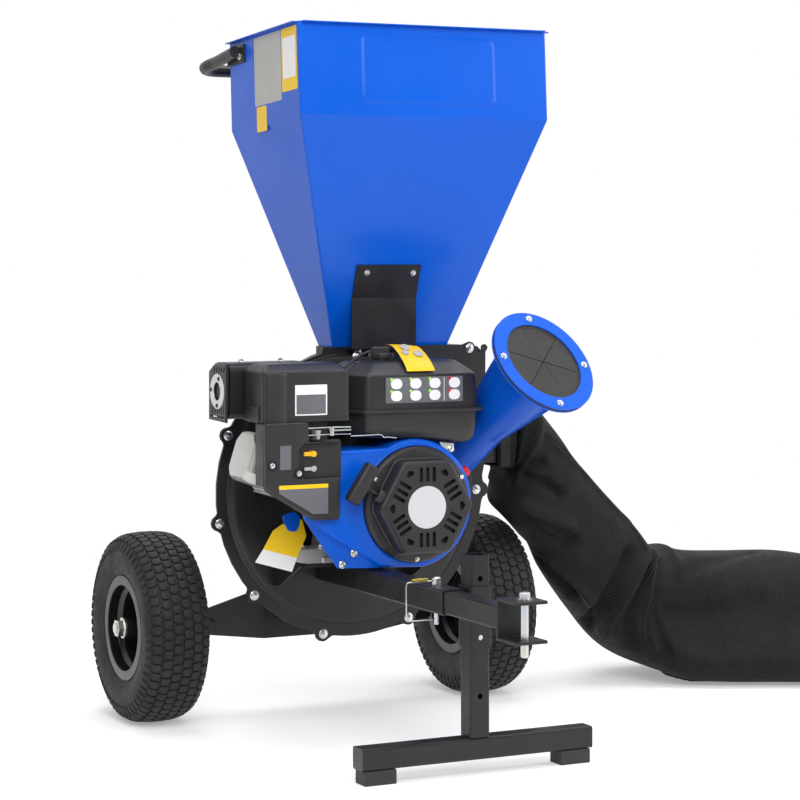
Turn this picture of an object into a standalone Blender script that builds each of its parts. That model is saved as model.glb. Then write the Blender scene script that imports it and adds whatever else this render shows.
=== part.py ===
"""Tow-behind wood chipper, shredder and vacuum-bag machine, as separate solids.

Everything is in metres with +Z up. Inside the script the pieces are drawn in the machine's
own frame: its origin is on the ground under the middle of the wheel axle, +X is the side of
the discharge bag, and -Y is the towing end. One empty, "machine", then shifts that frame so
that the model's origin is the middle of its bounding box on the ground.
"""

import math

import bmesh
import bpy
from mathutils import Matrix, Vector

# Gap left between pieces that touch, and the overlap given to shapes that are welded into one
GAP = 0.0003
WELD = 0.0005

# Middle of the bounding box on the ground, seen from the ground point under the axle
BOX_CENTRE = Vector((0.4068, -0.3570, 0.0))

# Wheels: 13 x 5.00-6 tyres on a plain axle
TYRE_R = 0.165
TYRE_HALF_WIDTH = 0.0575
RIM_LIP_R = 0.091
BEAD_R = 0.077
RIM_HALF_WIDTH = 0.0497
WHEEL_X = 0.321
AXLE_Z = TYRE_R
AXLE_R = 0.0095
AXLE_HALF = 0.385
HUB_R = 0.017
HUB_HALF = 0.047
WHEEL_STEPS = 28

# Square tubes of the frame
BAR = 0.035
SLEEVE = 0.0402
WALL = 0.0023
TOW_X = -0.0545
TOW_Z = 0.2715
TOW_TUBE_FRONT = -0.635
TOW_TUBE_BACK = -0.1643
TOW_BAR_FRONT = -0.8177
TOW_BAR_BACK = -0.480
LOCK_PIN_Y = -0.577
LOCK_PIN_R = 0.004

# Stand leg
LEG_X = TOW_X + SLEEVE + GAP
LEG_Y = -0.6314
LEG_TOP = 0.345
LEG_HOLE_PITCH = 0.0925
LEG_HOLE_LOW = 0.123
LEG_HOLE_R = 0.0045
SLEEVE_LOW = 0.200
SLEEVE_HIGH = 0.296
CROSSBAR_LOW = 0.023
CROSSBAR_HALF = 0.2055
FOOT_LENGTH = 0.055
FOOT_INSET = 0.004

# Hitch clevis
CLEVIS_Y = -0.818
CLEVIS_REACH = 0.061
CLEVIS_WIDTH = 0.055
CLEVIS_LOW = 0.240
CLEVIS_HIGH = 0.304
CLEVIS_T = 0.005
CLEVIS_PIN_R = 0.006
CLEVIS_PIN_Y = -0.857

# Shredder housing: a drum between a dished front plate and a back plate
DRUM_X = 0.003
DRUM_Z = 0.405
DRUM_R = 0.246
DRUM_SIDE_R = 0.2033
FLANGE_R = 0.2585
FLANGE_Y = -0.150
DRUM_BACK = -0.040
SHEET = 0.003
INLET_TOP = 0.6535
INLET_LEFT = -0.0550
COLLAR_LEFT = -0.0364
COLLAR_RIGHT = 0.198
COLLAR_BACK = -0.080
DRUM_RIGHT = 0.248
CORNER_R = 0.030
EAR_R = 0.014
EAR_CIRCLE_R = 0.258
EAR_ANGLES = (157.0, 191.0, 223.0, 257.0, 295.0, 357.0)

# Crankshaft axis, shared by the engine and the rotor
CRANK_X = 0.006
CRANK_Z = 0.400
SHAFT_R = 0.0125
PTO_Y = -0.1763

# Rotor: a disc with two chipping knives and four swinging flails behind it
DISC_R = 0.196
DISC_FRONT = -0.1530
DISC_T = 0.010
FLAIL_PIN_CIRCLE = 0.145
FLAIL_PIN_R = 0.006
FLAIL_LENGTH = 0.048
FLAIL_WIDTH = 0.034
FLAIL_T = 0.012
PLATE_Y = -0.075
PLATE_T = 0.006
PLATE_R = 0.166

# Chipping chute: a short tube out of the front plate that widens to a flanged mouth
CHUTE_MOUTH = Vector((0.2219, -0.4335, 0.6327))
CHUTE_DIRECTION = Vector((0.183, -0.779, 0.599)).normalized()
CHUTE_MOUTH_R = 0.0755
CHUTE_TUBE_R = 0.043
CHUTE_CONE = 0.179
CHUTE_LENGTH = 0.345
CHUTE_WALL = 0.0025
CHUTE_END_Y = -0.1565
RING_R = 0.0995
RING_T = 0.003
GUARD_T = 0.004

# Feed hopper
HOPPER_X = 0.0808
HOPPER_BOTTOM = 0.6548
HOPPER_HEIGHT = 0.547
HOPPER_BAND = 0.1576
HOPPER_TOP_HALF = 0.2398
HOPPER_THROAT_HALF = 0.1142
HOPPER_THROAT_FRONT = -0.1465
HOPPER_THROAT_BACK = -0.0878
HOPPER_TOP_FRONT = -0.307
HOPPER_TOP_BACK = -0.0063
HOPPER_LEAN = math.radians(3.4)
HOPPER_SHEET = 0.002
HOPPER_LIP = 0.010

# Discharge duct and bag
DUCT_LOW = 0.440
DUCT_HIGH = 0.560
DUCT_FRONT = -0.138
DUCT_BACK = -0.052
DUCT_END = 0.322
BAG_WALL = 0.003

# Engine
BED_TOP = 0.2968
BED_T = 0.005
SHROUD_R = 0.108
SHROUD_FRONT = -0.385
SHROUD_BACK = -0.300
RECOIL_R = 0.097
RECOIL_FRONT = -0.430

# Starter grip and the straight rope behind it, which runs through the wall of the starter housing
GRIP_MIDDLE = Vector((-0.1065, RECOIL_FRONT + 0.017, 0.4403))
GRIP_HALF = 0.0367
ROPE_DIRECTION = Vector((0.837, 0.0, -0.547)).normalized()
ROPE_START = GRIP_MIDDLE + ROPE_DIRECTION * 0.0173
ROPE_LENGTH = 0.150

# Fuel tank and the pieces on the side of the engine
LEVER_WALL = -0.3885
TANK_LEFT = -0.104
TANK_RIGHT = 0.135
TANK_FRONT = -0.385
TANK_BACK = -0.230
TANK_LOW = 0.5083
TANK_SUMP = 0.490
TANK_SEAM = 0.5555
TANK_HIGH = 0.638
CAP_X = -0.022
CAP_Y = -0.312
CYLINDER_TILT = math.radians(17.5)
CYLINDER_FRONT = -0.2997
CYLINDER_BACK = -0.200
BARREL_END = 0.1745
HEAD_END = 0.2145
COVER_END = 0.2545
PORT_ALONG = 0.196
PORT_HIGH = 0.058
PORT_Y = -0.262

FINISHES = {
    "black_powder_coat": ((0.018, 0.018, 0.020), 0.45, 0.0),
    "blue_paint": ((0.005, 0.085, 0.55), 0.30, 0.0),
    "zinc": ((0.62, 0.64, 0.66), 0.35, 1.0),
    "steel": ((0.40, 0.40, 0.41), 0.40, 1.0),
    "cast_aluminium": ((0.55, 0.55, 0.54), 0.45, 1.0),
    "tyre_rubber": ((0.022, 0.022, 0.022), 0.80, 0.0),
    "rubber": ((0.030, 0.030, 0.030), 0.70, 0.0),
    "black_plastic": ((0.035, 0.034, 0.036), 0.50, 0.0),
    "yellow_plastic": ((0.85, 0.50, 0.02), 0.40, 0.0),
    "red_plastic": ((0.65, 0.01, 0.02), 0.35, 0.0),
    "bag_cloth": ((0.020, 0.022, 0.018), 0.90, 0.0),
    "rope": ((0.020, 0.020, 0.020), 0.80, 0.0),
}

MATERIALS = {}
MACHINE = None


def clear_scene():
    """Remove every object of the open scene."""
    for item in list(bpy.data.objects):
        bpy.data.objects.remove(item, do_unlink=True)


def finish(name):
    """Return the named finish as a Principled material, made on first use."""
    if name not in MATERIALS:
        colour, roughness, metallic = FINISHES[name]
        material = bpy.data.materials.new(name)
        material.use_nodes = True
        shader = material.node_tree.nodes["Principled BSDF"]
        shader.inputs["Base Color"].default_value = (*colour, 1.0)
        shader.inputs["Roughness"].default_value = roughness
        shader.inputs["Metallic"].default_value = metallic
        MATERIALS[name] = material
    return MATERIALS[name]


def place(name, mesh_maker, finish_name, pivot=(0.0, 0.0, 0.0), smooth=True):
    """Make the named object from a bmesh drawn in the machine's frame, its origin at pivot."""
    pivot = Vector(pivot)
    bmesh.ops.remove_doubles(mesh_maker, verts=mesh_maker.verts, dist=1e-6)
    bmesh.ops.recalc_face_normals(mesh_maker, faces=mesh_maker.faces)
    bmesh.ops.translate(mesh_maker, verts=mesh_maker.verts, vec=-pivot)
    mesh = bpy.data.meshes.new(name)
    mesh_maker.to_mesh(mesh)
    mesh_maker.free()
    mesh.materials.append(finish(finish_name))
    item = bpy.data.objects.new(name, mesh)
    bpy.context.scene.collection.objects.link(item)
    item.parent = MACHINE
    item.location = pivot
    if smooth:
        mesh.shade_smooth()
        mesh.set_sharp_from_angle(angle=math.radians(35))
    return item


def apply_modifiers(item):
    """Replace an object's mesh by its evaluated one and drop the modifiers."""
    bpy.context.view_layer.update()
    graph = bpy.context.evaluated_depsgraph_get()
    mesh = bpy.data.meshes.new_from_object(item.evaluated_get(graph))
    item.modifiers.clear()
    item.data = mesh
    return item


def thicken(item, thickness, offset):
    """Give a sheet its thickness; offset 1 grows along the normals and -1 against them."""
    modifier = item.modifiers.new("thickness", "SOLIDIFY")
    modifier.thickness = thickness
    modifier.offset = offset
    modifier.use_even_offset = True
    modifier.use_quality_normals = True
    return apply_modifiers(item)


def combine(item, tools, operation):
    """Join tool objects into an object, or cut them out of it, and remove the tools."""
    for tool in tools:
        modifier = item.modifiers.new("combine", "BOOLEAN")
        modifier.operation = operation
        modifier.solver = "EXACT"
        modifier.object = tool
        apply_modifiers(item)
        bpy.data.objects.remove(tool, do_unlink=True)
    return item


def weld(item, *tools):
    """Join other shapes into an object as one body."""
    return combine(item, tools, "UNION")


def cut(item, *tools):
    """Cut other shapes out of an object."""
    return combine(item, tools, "DIFFERENCE")


def soften(item, width, segments=2, angle=40.0):
    """Bevel the edges sharper than an angle."""
    modifier = item.modifiers.new("bevel", "BEVEL")
    modifier.width = width
    modifier.segments = segments
    modifier.limit_method = "ANGLE"
    modifier.angle_limit = math.radians(angle)
    modifier.harden_normals = False
    return apply_modifiers(item)


def to_space(u, v, w, axis):
    """Turn plane coordinates u, v and a height w along the named axis into a point."""
    if axis == "X":
        return Vector((w, u, v))
    if axis == "Y":
        return Vector((u, w, v))
    return Vector((u, v, w))


def circle(u, v, radius, steps, start=0.0):
    """Points of a circle in a plane, counter-clockwise from a start angle in degrees."""
    turn = math.radians(start)
    angles = [turn + 2 * math.pi * i / steps for i in range(steps)]
    return [(u + radius * math.cos(a), v + radius * math.sin(a)) for a in angles]


def arc(u, v, radius, start, end, steps):
    """Points along an arc from a start to an end angle in degrees, both ends included."""
    angles = [math.radians(start + (end - start) * i / steps) for i in range(steps + 1)]
    return [(u + radius * math.cos(a), v + radius * math.sin(a)) for a in angles]


def rectangle(u0, u1, v0, v1):
    """Corner points of a rectangle."""
    return [(u0, v0), (u1, v0), (u1, v1), (u0, v1)]


def rounded_rectangle(u0, u1, v0, v1, radius, steps=4):
    """Outline of a rectangle with round corners."""
    return (
        arc(u1 - radius, v0 + radius, radius, -90, 0, steps)
        + arc(u1 - radius, v1 - radius, radius, 0, 90, steps)
        + arc(u0 + radius, v1 - radius, radius, 90, 180, steps)
        + arc(u0 + radius, v0 + radius, radius, 180, 270, steps)
    )


def add_prism(shape, outline, low, high, axis="Z", holes=()):
    """Add a straight prism between two heights, with any number of through holes."""
    edges = []
    for loop in (outline, *holes):
        points = [shape.verts.new(to_space(u, v, low, axis)) for u, v in loop]
        for i, point in enumerate(points):
            edges.append(shape.edges.new((point, points[(i + 1) % len(points)])))
    filled = bmesh.ops.triangle_fill(shape, use_beauty=True, use_dissolve=False, edges=edges)
    faces = [face for face in filled["geom"] if isinstance(face, bmesh.types.BMFace)]
    grown = bmesh.ops.extrude_face_region(shape, geom=faces, use_keep_orig=True)
    moved = [vert for vert in grown["geom"] if isinstance(vert, bmesh.types.BMVert)]
    bmesh.ops.translate(shape, verts=moved, vec=to_space(0, 0, high - low, axis))


def add_plate(shape, outline, hole, low, high, axis):
    """Add the two flat faces and the outer edge of a plate, with its hole left unwalled."""
    rims = []
    for height in (low, high):
        edges = []
        loops = []
        for loop in (outline, hole):
            points = [shape.verts.new(to_space(u, v, height, axis)) for u, v in loop]
            for i, point in enumerate(points):
                edges.append(shape.edges.new((point, points[(i + 1) % len(points)])))
            loops.append(points)
        bmesh.ops.triangle_fill(shape, use_beauty=True, use_dissolve=False, edges=edges)
        rims.append(loops[0])
    join_rings(shape, rims[0], rims[1])


def prism(name, outline, low, high, axis, finish_name, holes=(), pivot=(0, 0, 0)):
    """Make an object that is one straight prism."""
    shape = bmesh.new()
    add_prism(shape, outline, low, high, axis, holes)
    return place(name, shape, finish_name, pivot)


def add_box(shape, low, high):
    """Add a box between two corners."""
    add_prism(shape, rectangle(low[0], high[0], low[1], high[1]), low[2], high[2], "Z")


def box(name, low, high, finish_name="steel", pivot=(0, 0, 0)):
    """Make an object that is one box."""
    shape = bmesh.new()
    add_box(shape, low, high)
    return place(name, shape, finish_name, pivot, smooth=False)


def axis_frame(direction):
    """Two unit vectors square to a direction and to each other."""
    direction = Vector(direction).normalized()
    helper = Vector((0, 0, 1)) if abs(direction.z) < 0.9 else Vector((1, 0, 0))
    side = direction.cross(helper).normalized()
    return side, side.cross(direction).normalized()


def add_lathe(shape, profile, centre, direction, steps, closed=True, phase=0.0):
    """Turn a profile of (distance along the axis, radius) points round an axis.

    A closed profile makes a ring. An open one is capped where it reaches the axis.
    """
    centre = Vector(centre)
    direction = Vector(direction).normalized()
    side, up = axis_frame(direction)
    rings = []
    for along, radius in profile:
        middle = centre + direction * along
        if radius < 1e-9:
            rings.append([shape.verts.new(middle)])
            continue
        ring = []
        for i in range(steps):
            angle = phase + 2 * math.pi * i / steps
            offset = side * math.cos(angle) + up * math.sin(angle)
            ring.append(shape.verts.new(middle + offset * radius))
        rings.append(ring)
    pairs = list(zip(rings, rings[1:]))
    if closed:
        pairs.append((rings[-1], rings[0]))
    for lower, upper in pairs:
        join_rings(shape, lower, upper)


def join_rings(shape, lower, upper):
    """Put faces between two rings; either may be a single pole point."""
    count = max(len(lower), len(upper))
    for i in range(count):
        j = (i + 1) % count
        if len(lower) == 1:
            shape.faces.new((lower[0], upper[j], upper[i]))
        elif len(upper) == 1:
            shape.faces.new((lower[i], lower[j], upper[0]))
        else:
            shape.faces.new((lower[i], lower[j], upper[j], upper[i]))


def lathe(name, profile, centre, direction, steps, finish_name, closed=True, pivot=None):
    """Make a turned object whose origin is on its axis."""
    shape = bmesh.new()
    add_lathe(shape, profile, centre, direction, steps, closed)
    return place(name, shape, finish_name, centre if pivot is None else pivot)


def rod(name, start, end, radius, steps, finish_name="zinc", pivot=None):
    """Make a plain round bar between two points."""
    start = Vector(start)
    end = Vector(end)
    length = (end - start).length
    profile = [(0, 0), (0, radius), (length, radius), (length, 0)]
    origin = start if pivot is None else pivot
    return lathe(name, profile, start, end - start, steps, finish_name, False, origin)


def add_sweep(shape, path, radius, sides, squash=1.0):
    """Sweep a round or flattened section along points, with flat ends."""
    path = [Vector(point) for point in path]
    tangents = []
    for i in range(len(path)):
        before = path[max(i - 1, 0)]
        after = path[min(i + 1, len(path) - 1)]
        tangents.append((after - before).normalized())
    side, up = axis_frame(tangents[0])
    rings = []
    for i, (point, tangent) in enumerate(zip(path, tangents)):
        if i:
            turn = tangents[i - 1].rotation_difference(tangent)
            side = turn @ side
            up = turn @ up
        ring = []
        for k in range(sides):
            angle = 2 * math.pi * (k + 0.5) / sides
            offset = side * math.cos(angle) * radius + up * math.sin(angle) * radius * squash
            ring.append(shape.verts.new(point + offset))
        rings.append(ring)
    for lower, upper in zip(rings, rings[1:]):
        join_rings(shape, lower, upper)
    shape.faces.new(list(reversed(rings[0])))
    shape.faces.new(rings[-1])


def sweep(name, path, radius, sides, finish_name, pivot=(0, 0, 0)):
    """Make a bent round bar or tube of one radius."""
    shape = bmesh.new()
    add_sweep(shape, path, radius, sides)
    return place(name, shape, finish_name, pivot)


def bend_path(corners, radius, steps=5):
    """Round the inner corners of a polyline with arcs of one radius."""
    corners = [Vector(corner) for corner in corners]
    points = [corners[0]]
    for before, corner, after in zip(corners, corners[1:], corners[2:]):
        back = (before - corner).normalized()
        ahead = (after - corner).normalized()
        half = back.angle(ahead) / 2
        reach = radius / math.tan(half)
        centre = corner + (back + ahead).normalized() * (radius / math.sin(half))
        first = (corner + back * reach - centre).normalized()
        last = (corner + ahead * reach - centre).normalized()
        for i in range(steps + 1):
            points.append(centre + first.slerp(last, i / steps) * radius)
    points.append(corners[-1])
    return points


def square_tube(name, centre, size, low, high, axis, finish_name, pivot=(0, 0, 0)):
    """Make a square tube with round corners and an open bore."""
    u, v = centre
    half = size / 2
    outer = rounded_rectangle(u - half, u + half, v - half, v + half, 0.004, 3)
    inner_half = half - WALL
    inner = rounded_rectangle(u - inner_half, u + inner_half, v - inner_half, v + inner_half, 0.0017, 2)
    return prism(name, outer, low, high, axis, finish_name, (inner,), pivot)


def make_wheel(side, label):
    """Build one wheel: a turf tyre, its steel rim, and the nut that holds it."""
    centre = Vector((side * WHEEL_X, 0, AXLE_Z))
    outward = Vector((side, 0, 0))
    bead = RIM_HALF_WIDTH - SHEET - GAP
    half = TYRE_HALF_WIDTH
    outer = [(bead, BEAD_R + GAP), (bead, 0.0918), (half, 0.122), (0.0530, 0.149), (0.040, 0.160), (0.016, TYRE_R)]
    inner = [(0.036, 0.150), (0.0490, 0.122), (0.034, BEAD_R + GAP)]
    profile = outer + [(-x, r) for x, r in reversed(outer)]
    profile += [(-x, r) for x, r in reversed(inner)] + inner
    lathe(f"tyre_{label}", profile, centre, outward, WHEEL_STEPS, "tyre_rubber")

    lip = RIM_HALF_WIDTH
    well = BEAD_R - 0.007
    rim_profile = [(lip, RIM_LIP_R), (lip - SHEET, RIM_LIP_R), (lip - SHEET, BEAD_R), (0.030, BEAD_R),
                   (0.024, well), (-0.024, well), (-0.030, BEAD_R), (-lip + SHEET, BEAD_R),
                   (-lip + SHEET, RIM_LIP_R), (-lip, RIM_LIP_R), (-lip, BEAD_R - SHEET),
                   (-0.0315, BEAD_R - SHEET), (-0.0255, well - SHEET), (-0.006, well - SHEET),
                   (-0.016, 0.034), (-0.016, HUB_R), (-HUB_HALF, HUB_R),
                   (-HUB_HALF, AXLE_R + GAP), (HUB_HALF, AXLE_R + GAP), (HUB_HALF, HUB_R),
                   (-0.012, HUB_R), (-0.012, 0.033), (-0.002, well - SHEET),
                   (0.0255, well - SHEET), (0.0315, BEAD_R - SHEET), (lip, BEAD_R - SHEET)]
    lathe(f"rim_{label}", rim_profile, centre, outward, WHEEL_STEPS, "black_powder_coat")

    washer_start = WHEEL_X + HUB_HALF + GAP
    washer_end = washer_start + 0.003
    bore = circle(0, AXLE_Z, AXLE_R + GAP, 16)
    spans = sorted((side * washer_start, side * washer_end))
    washer = prism(f"wheel_nut_{label}", circle(0, AXLE_Z, 0.018, 18), *spans, "X", "zinc", (bore,),
                   (side * washer_start, 0, AXLE_Z))
    spans = sorted((side * (washer_end - WELD), side * (washer_end + 0.011)))
    nut = prism("nut_body", circle(0, AXLE_Z, 0.0155, 6), *spans, "X", "zinc", (bore,))
    weld(washer, nut)


def make_axle():
    """Build the axle bar and the folded bracket that carries it behind the drum."""
    rod("axle", (-AXLE_HALF, 0, AXLE_Z), (AXLE_HALF, 0, AXLE_Z), AXLE_R, 16, "zinc", (0, 0, AXLE_Z))

    web_front = DRUM_BACK + SHEET + GAP
    fold_x = 0.119
    web_low = 0.134
    web_high = 0.225
    wing_x = 0.232
    wing_low = 0.1445
    wing_high = 0.184
    shape = bmesh.new()
    columns = []
    for x, y, low, high in ((-wing_x, -0.004, wing_low, wing_high), (-fold_x, web_front, web_low, web_high),
                            (fold_x, web_front, web_low, web_high), (wing_x, -0.004, wing_low, wing_high)):
        columns.append((shape.verts.new((x, y, low)), shape.verts.new((x, y, high))))
    for left, right in zip(columns, columns[1:]):
        shape.faces.new((left[0], right[0], right[1], left[1]))
    lower = [shape.verts.new((x, 0.022, z)) for x, z in
             ((-wing_x, wing_low), (-fold_x, web_low), (fold_x, web_low), (wing_x, wing_low))]
    for i in range(3):
        shape.faces.new((columns[i][0], columns[i + 1][0], lower[i + 1], lower[i]))
    bracket = place("axle_bracket", shape, "black_powder_coat", smooth=False)
    thicken(bracket, SHEET, -1)
    bore = circle(0, AXLE_Z, AXLE_R + 2 * GAP, 16)
    tube = prism("axle_tube", circle(0, AXLE_Z, 0.0135, 16), -0.268, 0.268, "X", "black_powder_coat", (bore,))
    weld(bracket, tube)
    cut(bracket, rod("axle_way", (-0.3, 0, AXLE_Z), (0.3, 0, AXLE_Z), AXLE_R + 2 * GAP, 16))


def make_tow_frame():
    """Build the telescoping tow tubes, the engine bed and the lock pin through the tubes."""
    centre = (TOW_X, TOW_Z)
    tube = square_tube("tow_tube", centre, SLEEVE, TOW_TUBE_FRONT, TOW_TUBE_BACK, "Y", "black_powder_coat")
    bar = square_tube("tow_bar", centre, BAR, TOW_BAR_FRONT, TOW_BAR_BACK, "Y", "black_powder_coat")
    for item in (tube, bar):
        cut(item, rod("pin_way", (TOW_X, LOCK_PIN_Y, 0.2), (TOW_X, LOCK_PIN_Y, 0.35), LOCK_PIN_R + GAP, 12))

    head_z = TOW_Z + SLEEVE / 2 + GAP
    tip_z = 0.229
    profile = [(0, 0), (0, 0.003), (0.002, LOCK_PIN_R), (head_z - tip_z, LOCK_PIN_R), (head_z - tip_z, 0.007),
               (head_z - tip_z + 0.011, 0.007), (head_z - tip_z + 0.013, 0.005), (head_z - tip_z + 0.013, 0)]
    lathe("lock_pin", profile, (TOW_X, LOCK_PIN_Y, tip_z), (0, 0, 1), 12, "zinc", False)

    wire_top = head_z + 0.0065
    wire_x = -0.108
    near = TOW_X - 0.007 - 0.0014
    corners = [(near, LOCK_PIN_Y, wire_top), (wire_x, LOCK_PIN_Y, wire_top), (wire_x, LOCK_PIN_Y, 0.2375),
               (TOW_X - LOCK_PIN_R - 0.0006, LOCK_PIN_Y, 0.2375)]
    path = bend_path(corners, 0.005, 3)
    sweep("lock_wire", path, 0.00125, 8, "zinc", (TOW_X, LOCK_PIN_Y, wire_top))

    bed_left = -0.158
    bed_right = 0.098
    bed_front = SHROUD_BACK + GAP
    bed_back = TOW_TUBE_BACK
    low = BED_TOP - BED_T
    bed = box("engine_bed", (bed_left, bed_front, low), (bed_right, bed_back, BED_TOP), "black_powder_coat")
    for x0, x1 in ((bed_left, bed_left + 0.004), (bed_right - 0.004, bed_right)):
        skirt = [(bed_front + 0.02, low + WELD), (bed_back, low + WELD), (bed_back, 0.246), (bed_back - 0.03, 0.250)]
        weld(bed, prism("bed_skirt", skirt, x0, x1, "X", "black_powder_coat"))
    weld(bed, box("bed_heel", (bed_left, bed_back - 0.004, low - 0.014), (TOW_X - SLEEVE / 2 - 0.002, bed_back, low + WELD)))
    weld(bed, box("bed_heel", (TOW_X + SLEEVE / 2 + 0.002, bed_back - 0.004, low - 0.014), (bed_right, bed_back, low + WELD)))


def make_clevis():
    """Build the hitch clevis on the tow bar and its pin."""
    left = TOW_X + 0.0025 - CLEVIS_WIDTH / 2
    right = left + CLEVIS_WIDTH
    front = CLEVIS_Y - CLEVIS_REACH
    outline = [(CLEVIS_Y, CLEVIS_LOW), (CLEVIS_Y, CLEVIS_HIGH), (front, CLEVIS_HIGH), (front, CLEVIS_HIGH - CLEVIS_T),
               (CLEVIS_Y - CLEVIS_T, CLEVIS_HIGH - CLEVIS_T), (CLEVIS_Y - CLEVIS_T, CLEVIS_LOW + CLEVIS_T),
               (front, CLEVIS_LOW + CLEVIS_T), (front, CLEVIS_LOW)]
    clevis = prism("clevis", outline, left, right, "X", "black_powder_coat")
    pin_x = (left + right) / 2
    cut(clevis, rod("pin_way", (pin_x, CLEVIS_PIN_Y, 0.2), (pin_x, CLEVIS_PIN_Y, 0.35), CLEVIS_PIN_R + GAP, 16))
    soften(clevis, 0.0008, 1, 60)

    tip = 0.218
    shank = CLEVIS_HIGH + GAP - tip
    profile = [(0, 0), (0, 0.0045), (0.0015, CLEVIS_PIN_R), (shank, CLEVIS_PIN_R), (shank, 0.0115),
               (shank + 0.002, 0.0115), (shank + 0.002, 0.0085), (shank + 0.010, 0.0085), (shank + 0.0115, 0.007),
               (shank + 0.0115, 0)]
    lathe("clevis_pin", profile, (pin_x, CLEVIS_PIN_Y, tip), (0, 0, 1), 16, "zinc", False)


def make_stand():
    """Build the stand leg, its sleeve on the tow bar, the cross-bar and its feet."""
    centre = (LEG_X, LEG_Y)
    sleeve = square_tube("leg_sleeve", centre, SLEEVE, SLEEVE_LOW, SLEEVE_HIGH, "Z", "black_powder_coat")
    bottom = CROSSBAR_LOW + BAR + GAP
    post = square_tube("leg_post", centre, BAR, bottom, LEG_TOP, "Z", "black_powder_coat")
    middle_hole = LEG_HOLE_LOW + LEG_HOLE_PITCH
    cutters = [rod("hole", (LEG_X, LEG_Y - 0.04, z), (LEG_X, LEG_Y + 0.04, z), LEG_HOLE_R, 12)
               for z in (LEG_HOLE_LOW, middle_hole, middle_hole + LEG_HOLE_PITCH)]
    cut(post, *cutters)
    cut(sleeve, rod("hole", (LEG_X, LEG_Y - 0.04, middle_hole), (LEG_X, LEG_Y + 0.04, middle_hole), LEG_HOLE_R, 12))

    shank_r = LEG_HOLE_R - GAP
    back = LEG_Y + SLEEVE / 2 + GAP
    reach = SLEEVE - 0.001
    profile = [(0, 0), (0, shank_r), (reach, shank_r), (reach, 0.008), (reach + 0.006, 0.008), (reach + 0.006, 0)]
    lathe("leg_pin", profile, (LEG_X, back - reach, middle_hole), (0, 1, 0), 12, "zinc", False)

    half = BAR / 2
    outline = rounded_rectangle(LEG_Y - half, LEG_Y + half, CROSSBAR_LOW, CROSSBAR_LOW + BAR, 0.004, 3)
    prism("crossbar", outline, LEG_X - CROSSBAR_HALF, LEG_X + CROSSBAR_HALF, "X", "black_powder_coat")
    for side, label in ((-1, "left"), (1, "right")):
        outer = LEG_X + side * (CROSSBAR_HALF - FOOT_INSET)
        inner = outer - side * FOOT_LENGTH
        x0, x1 = sorted((outer, inner))
        foot = box(f"foot_{label}", (x0, LEG_Y - half, 0.0), (x1, LEG_Y + half, CROSSBAR_LOW - GAP), "rubber")
        soften(foot, 0.0015, 2, 60)


def housing_outline(radius, right, top, shoulder, steps):
    """Outline of the housing in X and Z: a scroll from the right side round to its top left shoulder."""
    left = shoulder[0][0]
    last = math.degrees(math.acos((left - DRUM_X) / radius(math.pi / 2))) - 360
    drum = []
    for x, z in arc(0, 0, 1, 0, last, steps):
        reach = radius(math.atan2(z, x))
        drum.append((min(DRUM_X + reach * x, right), DRUM_Z + reach * z))
    corner = arc(right - CORNER_R, top - CORNER_R, CORNER_R, 90, 0, 3)
    return list(reversed(drum + shoulder + corner))


def flange_radius(angle):
    """Radius of the housing's flange, which is cut back at the top left."""
    share = min(max((150 - math.degrees(angle)) / 25, 0), 1) if angle > 0 else 0
    return FLANGE_R - 0.0135 * share * share * (3 - 2 * share)


def drum_radius(angle):
    """Radius of the scroll-shaped drum, smallest on the left."""
    return min(DRUM_R, DRUM_SIDE_R + 0.036 * (1 + math.cos(angle)) ** 1.8)


def room_radius(angle):
    """Radius of the room in the drum."""
    return drum_radius(angle) - SHEET


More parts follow.
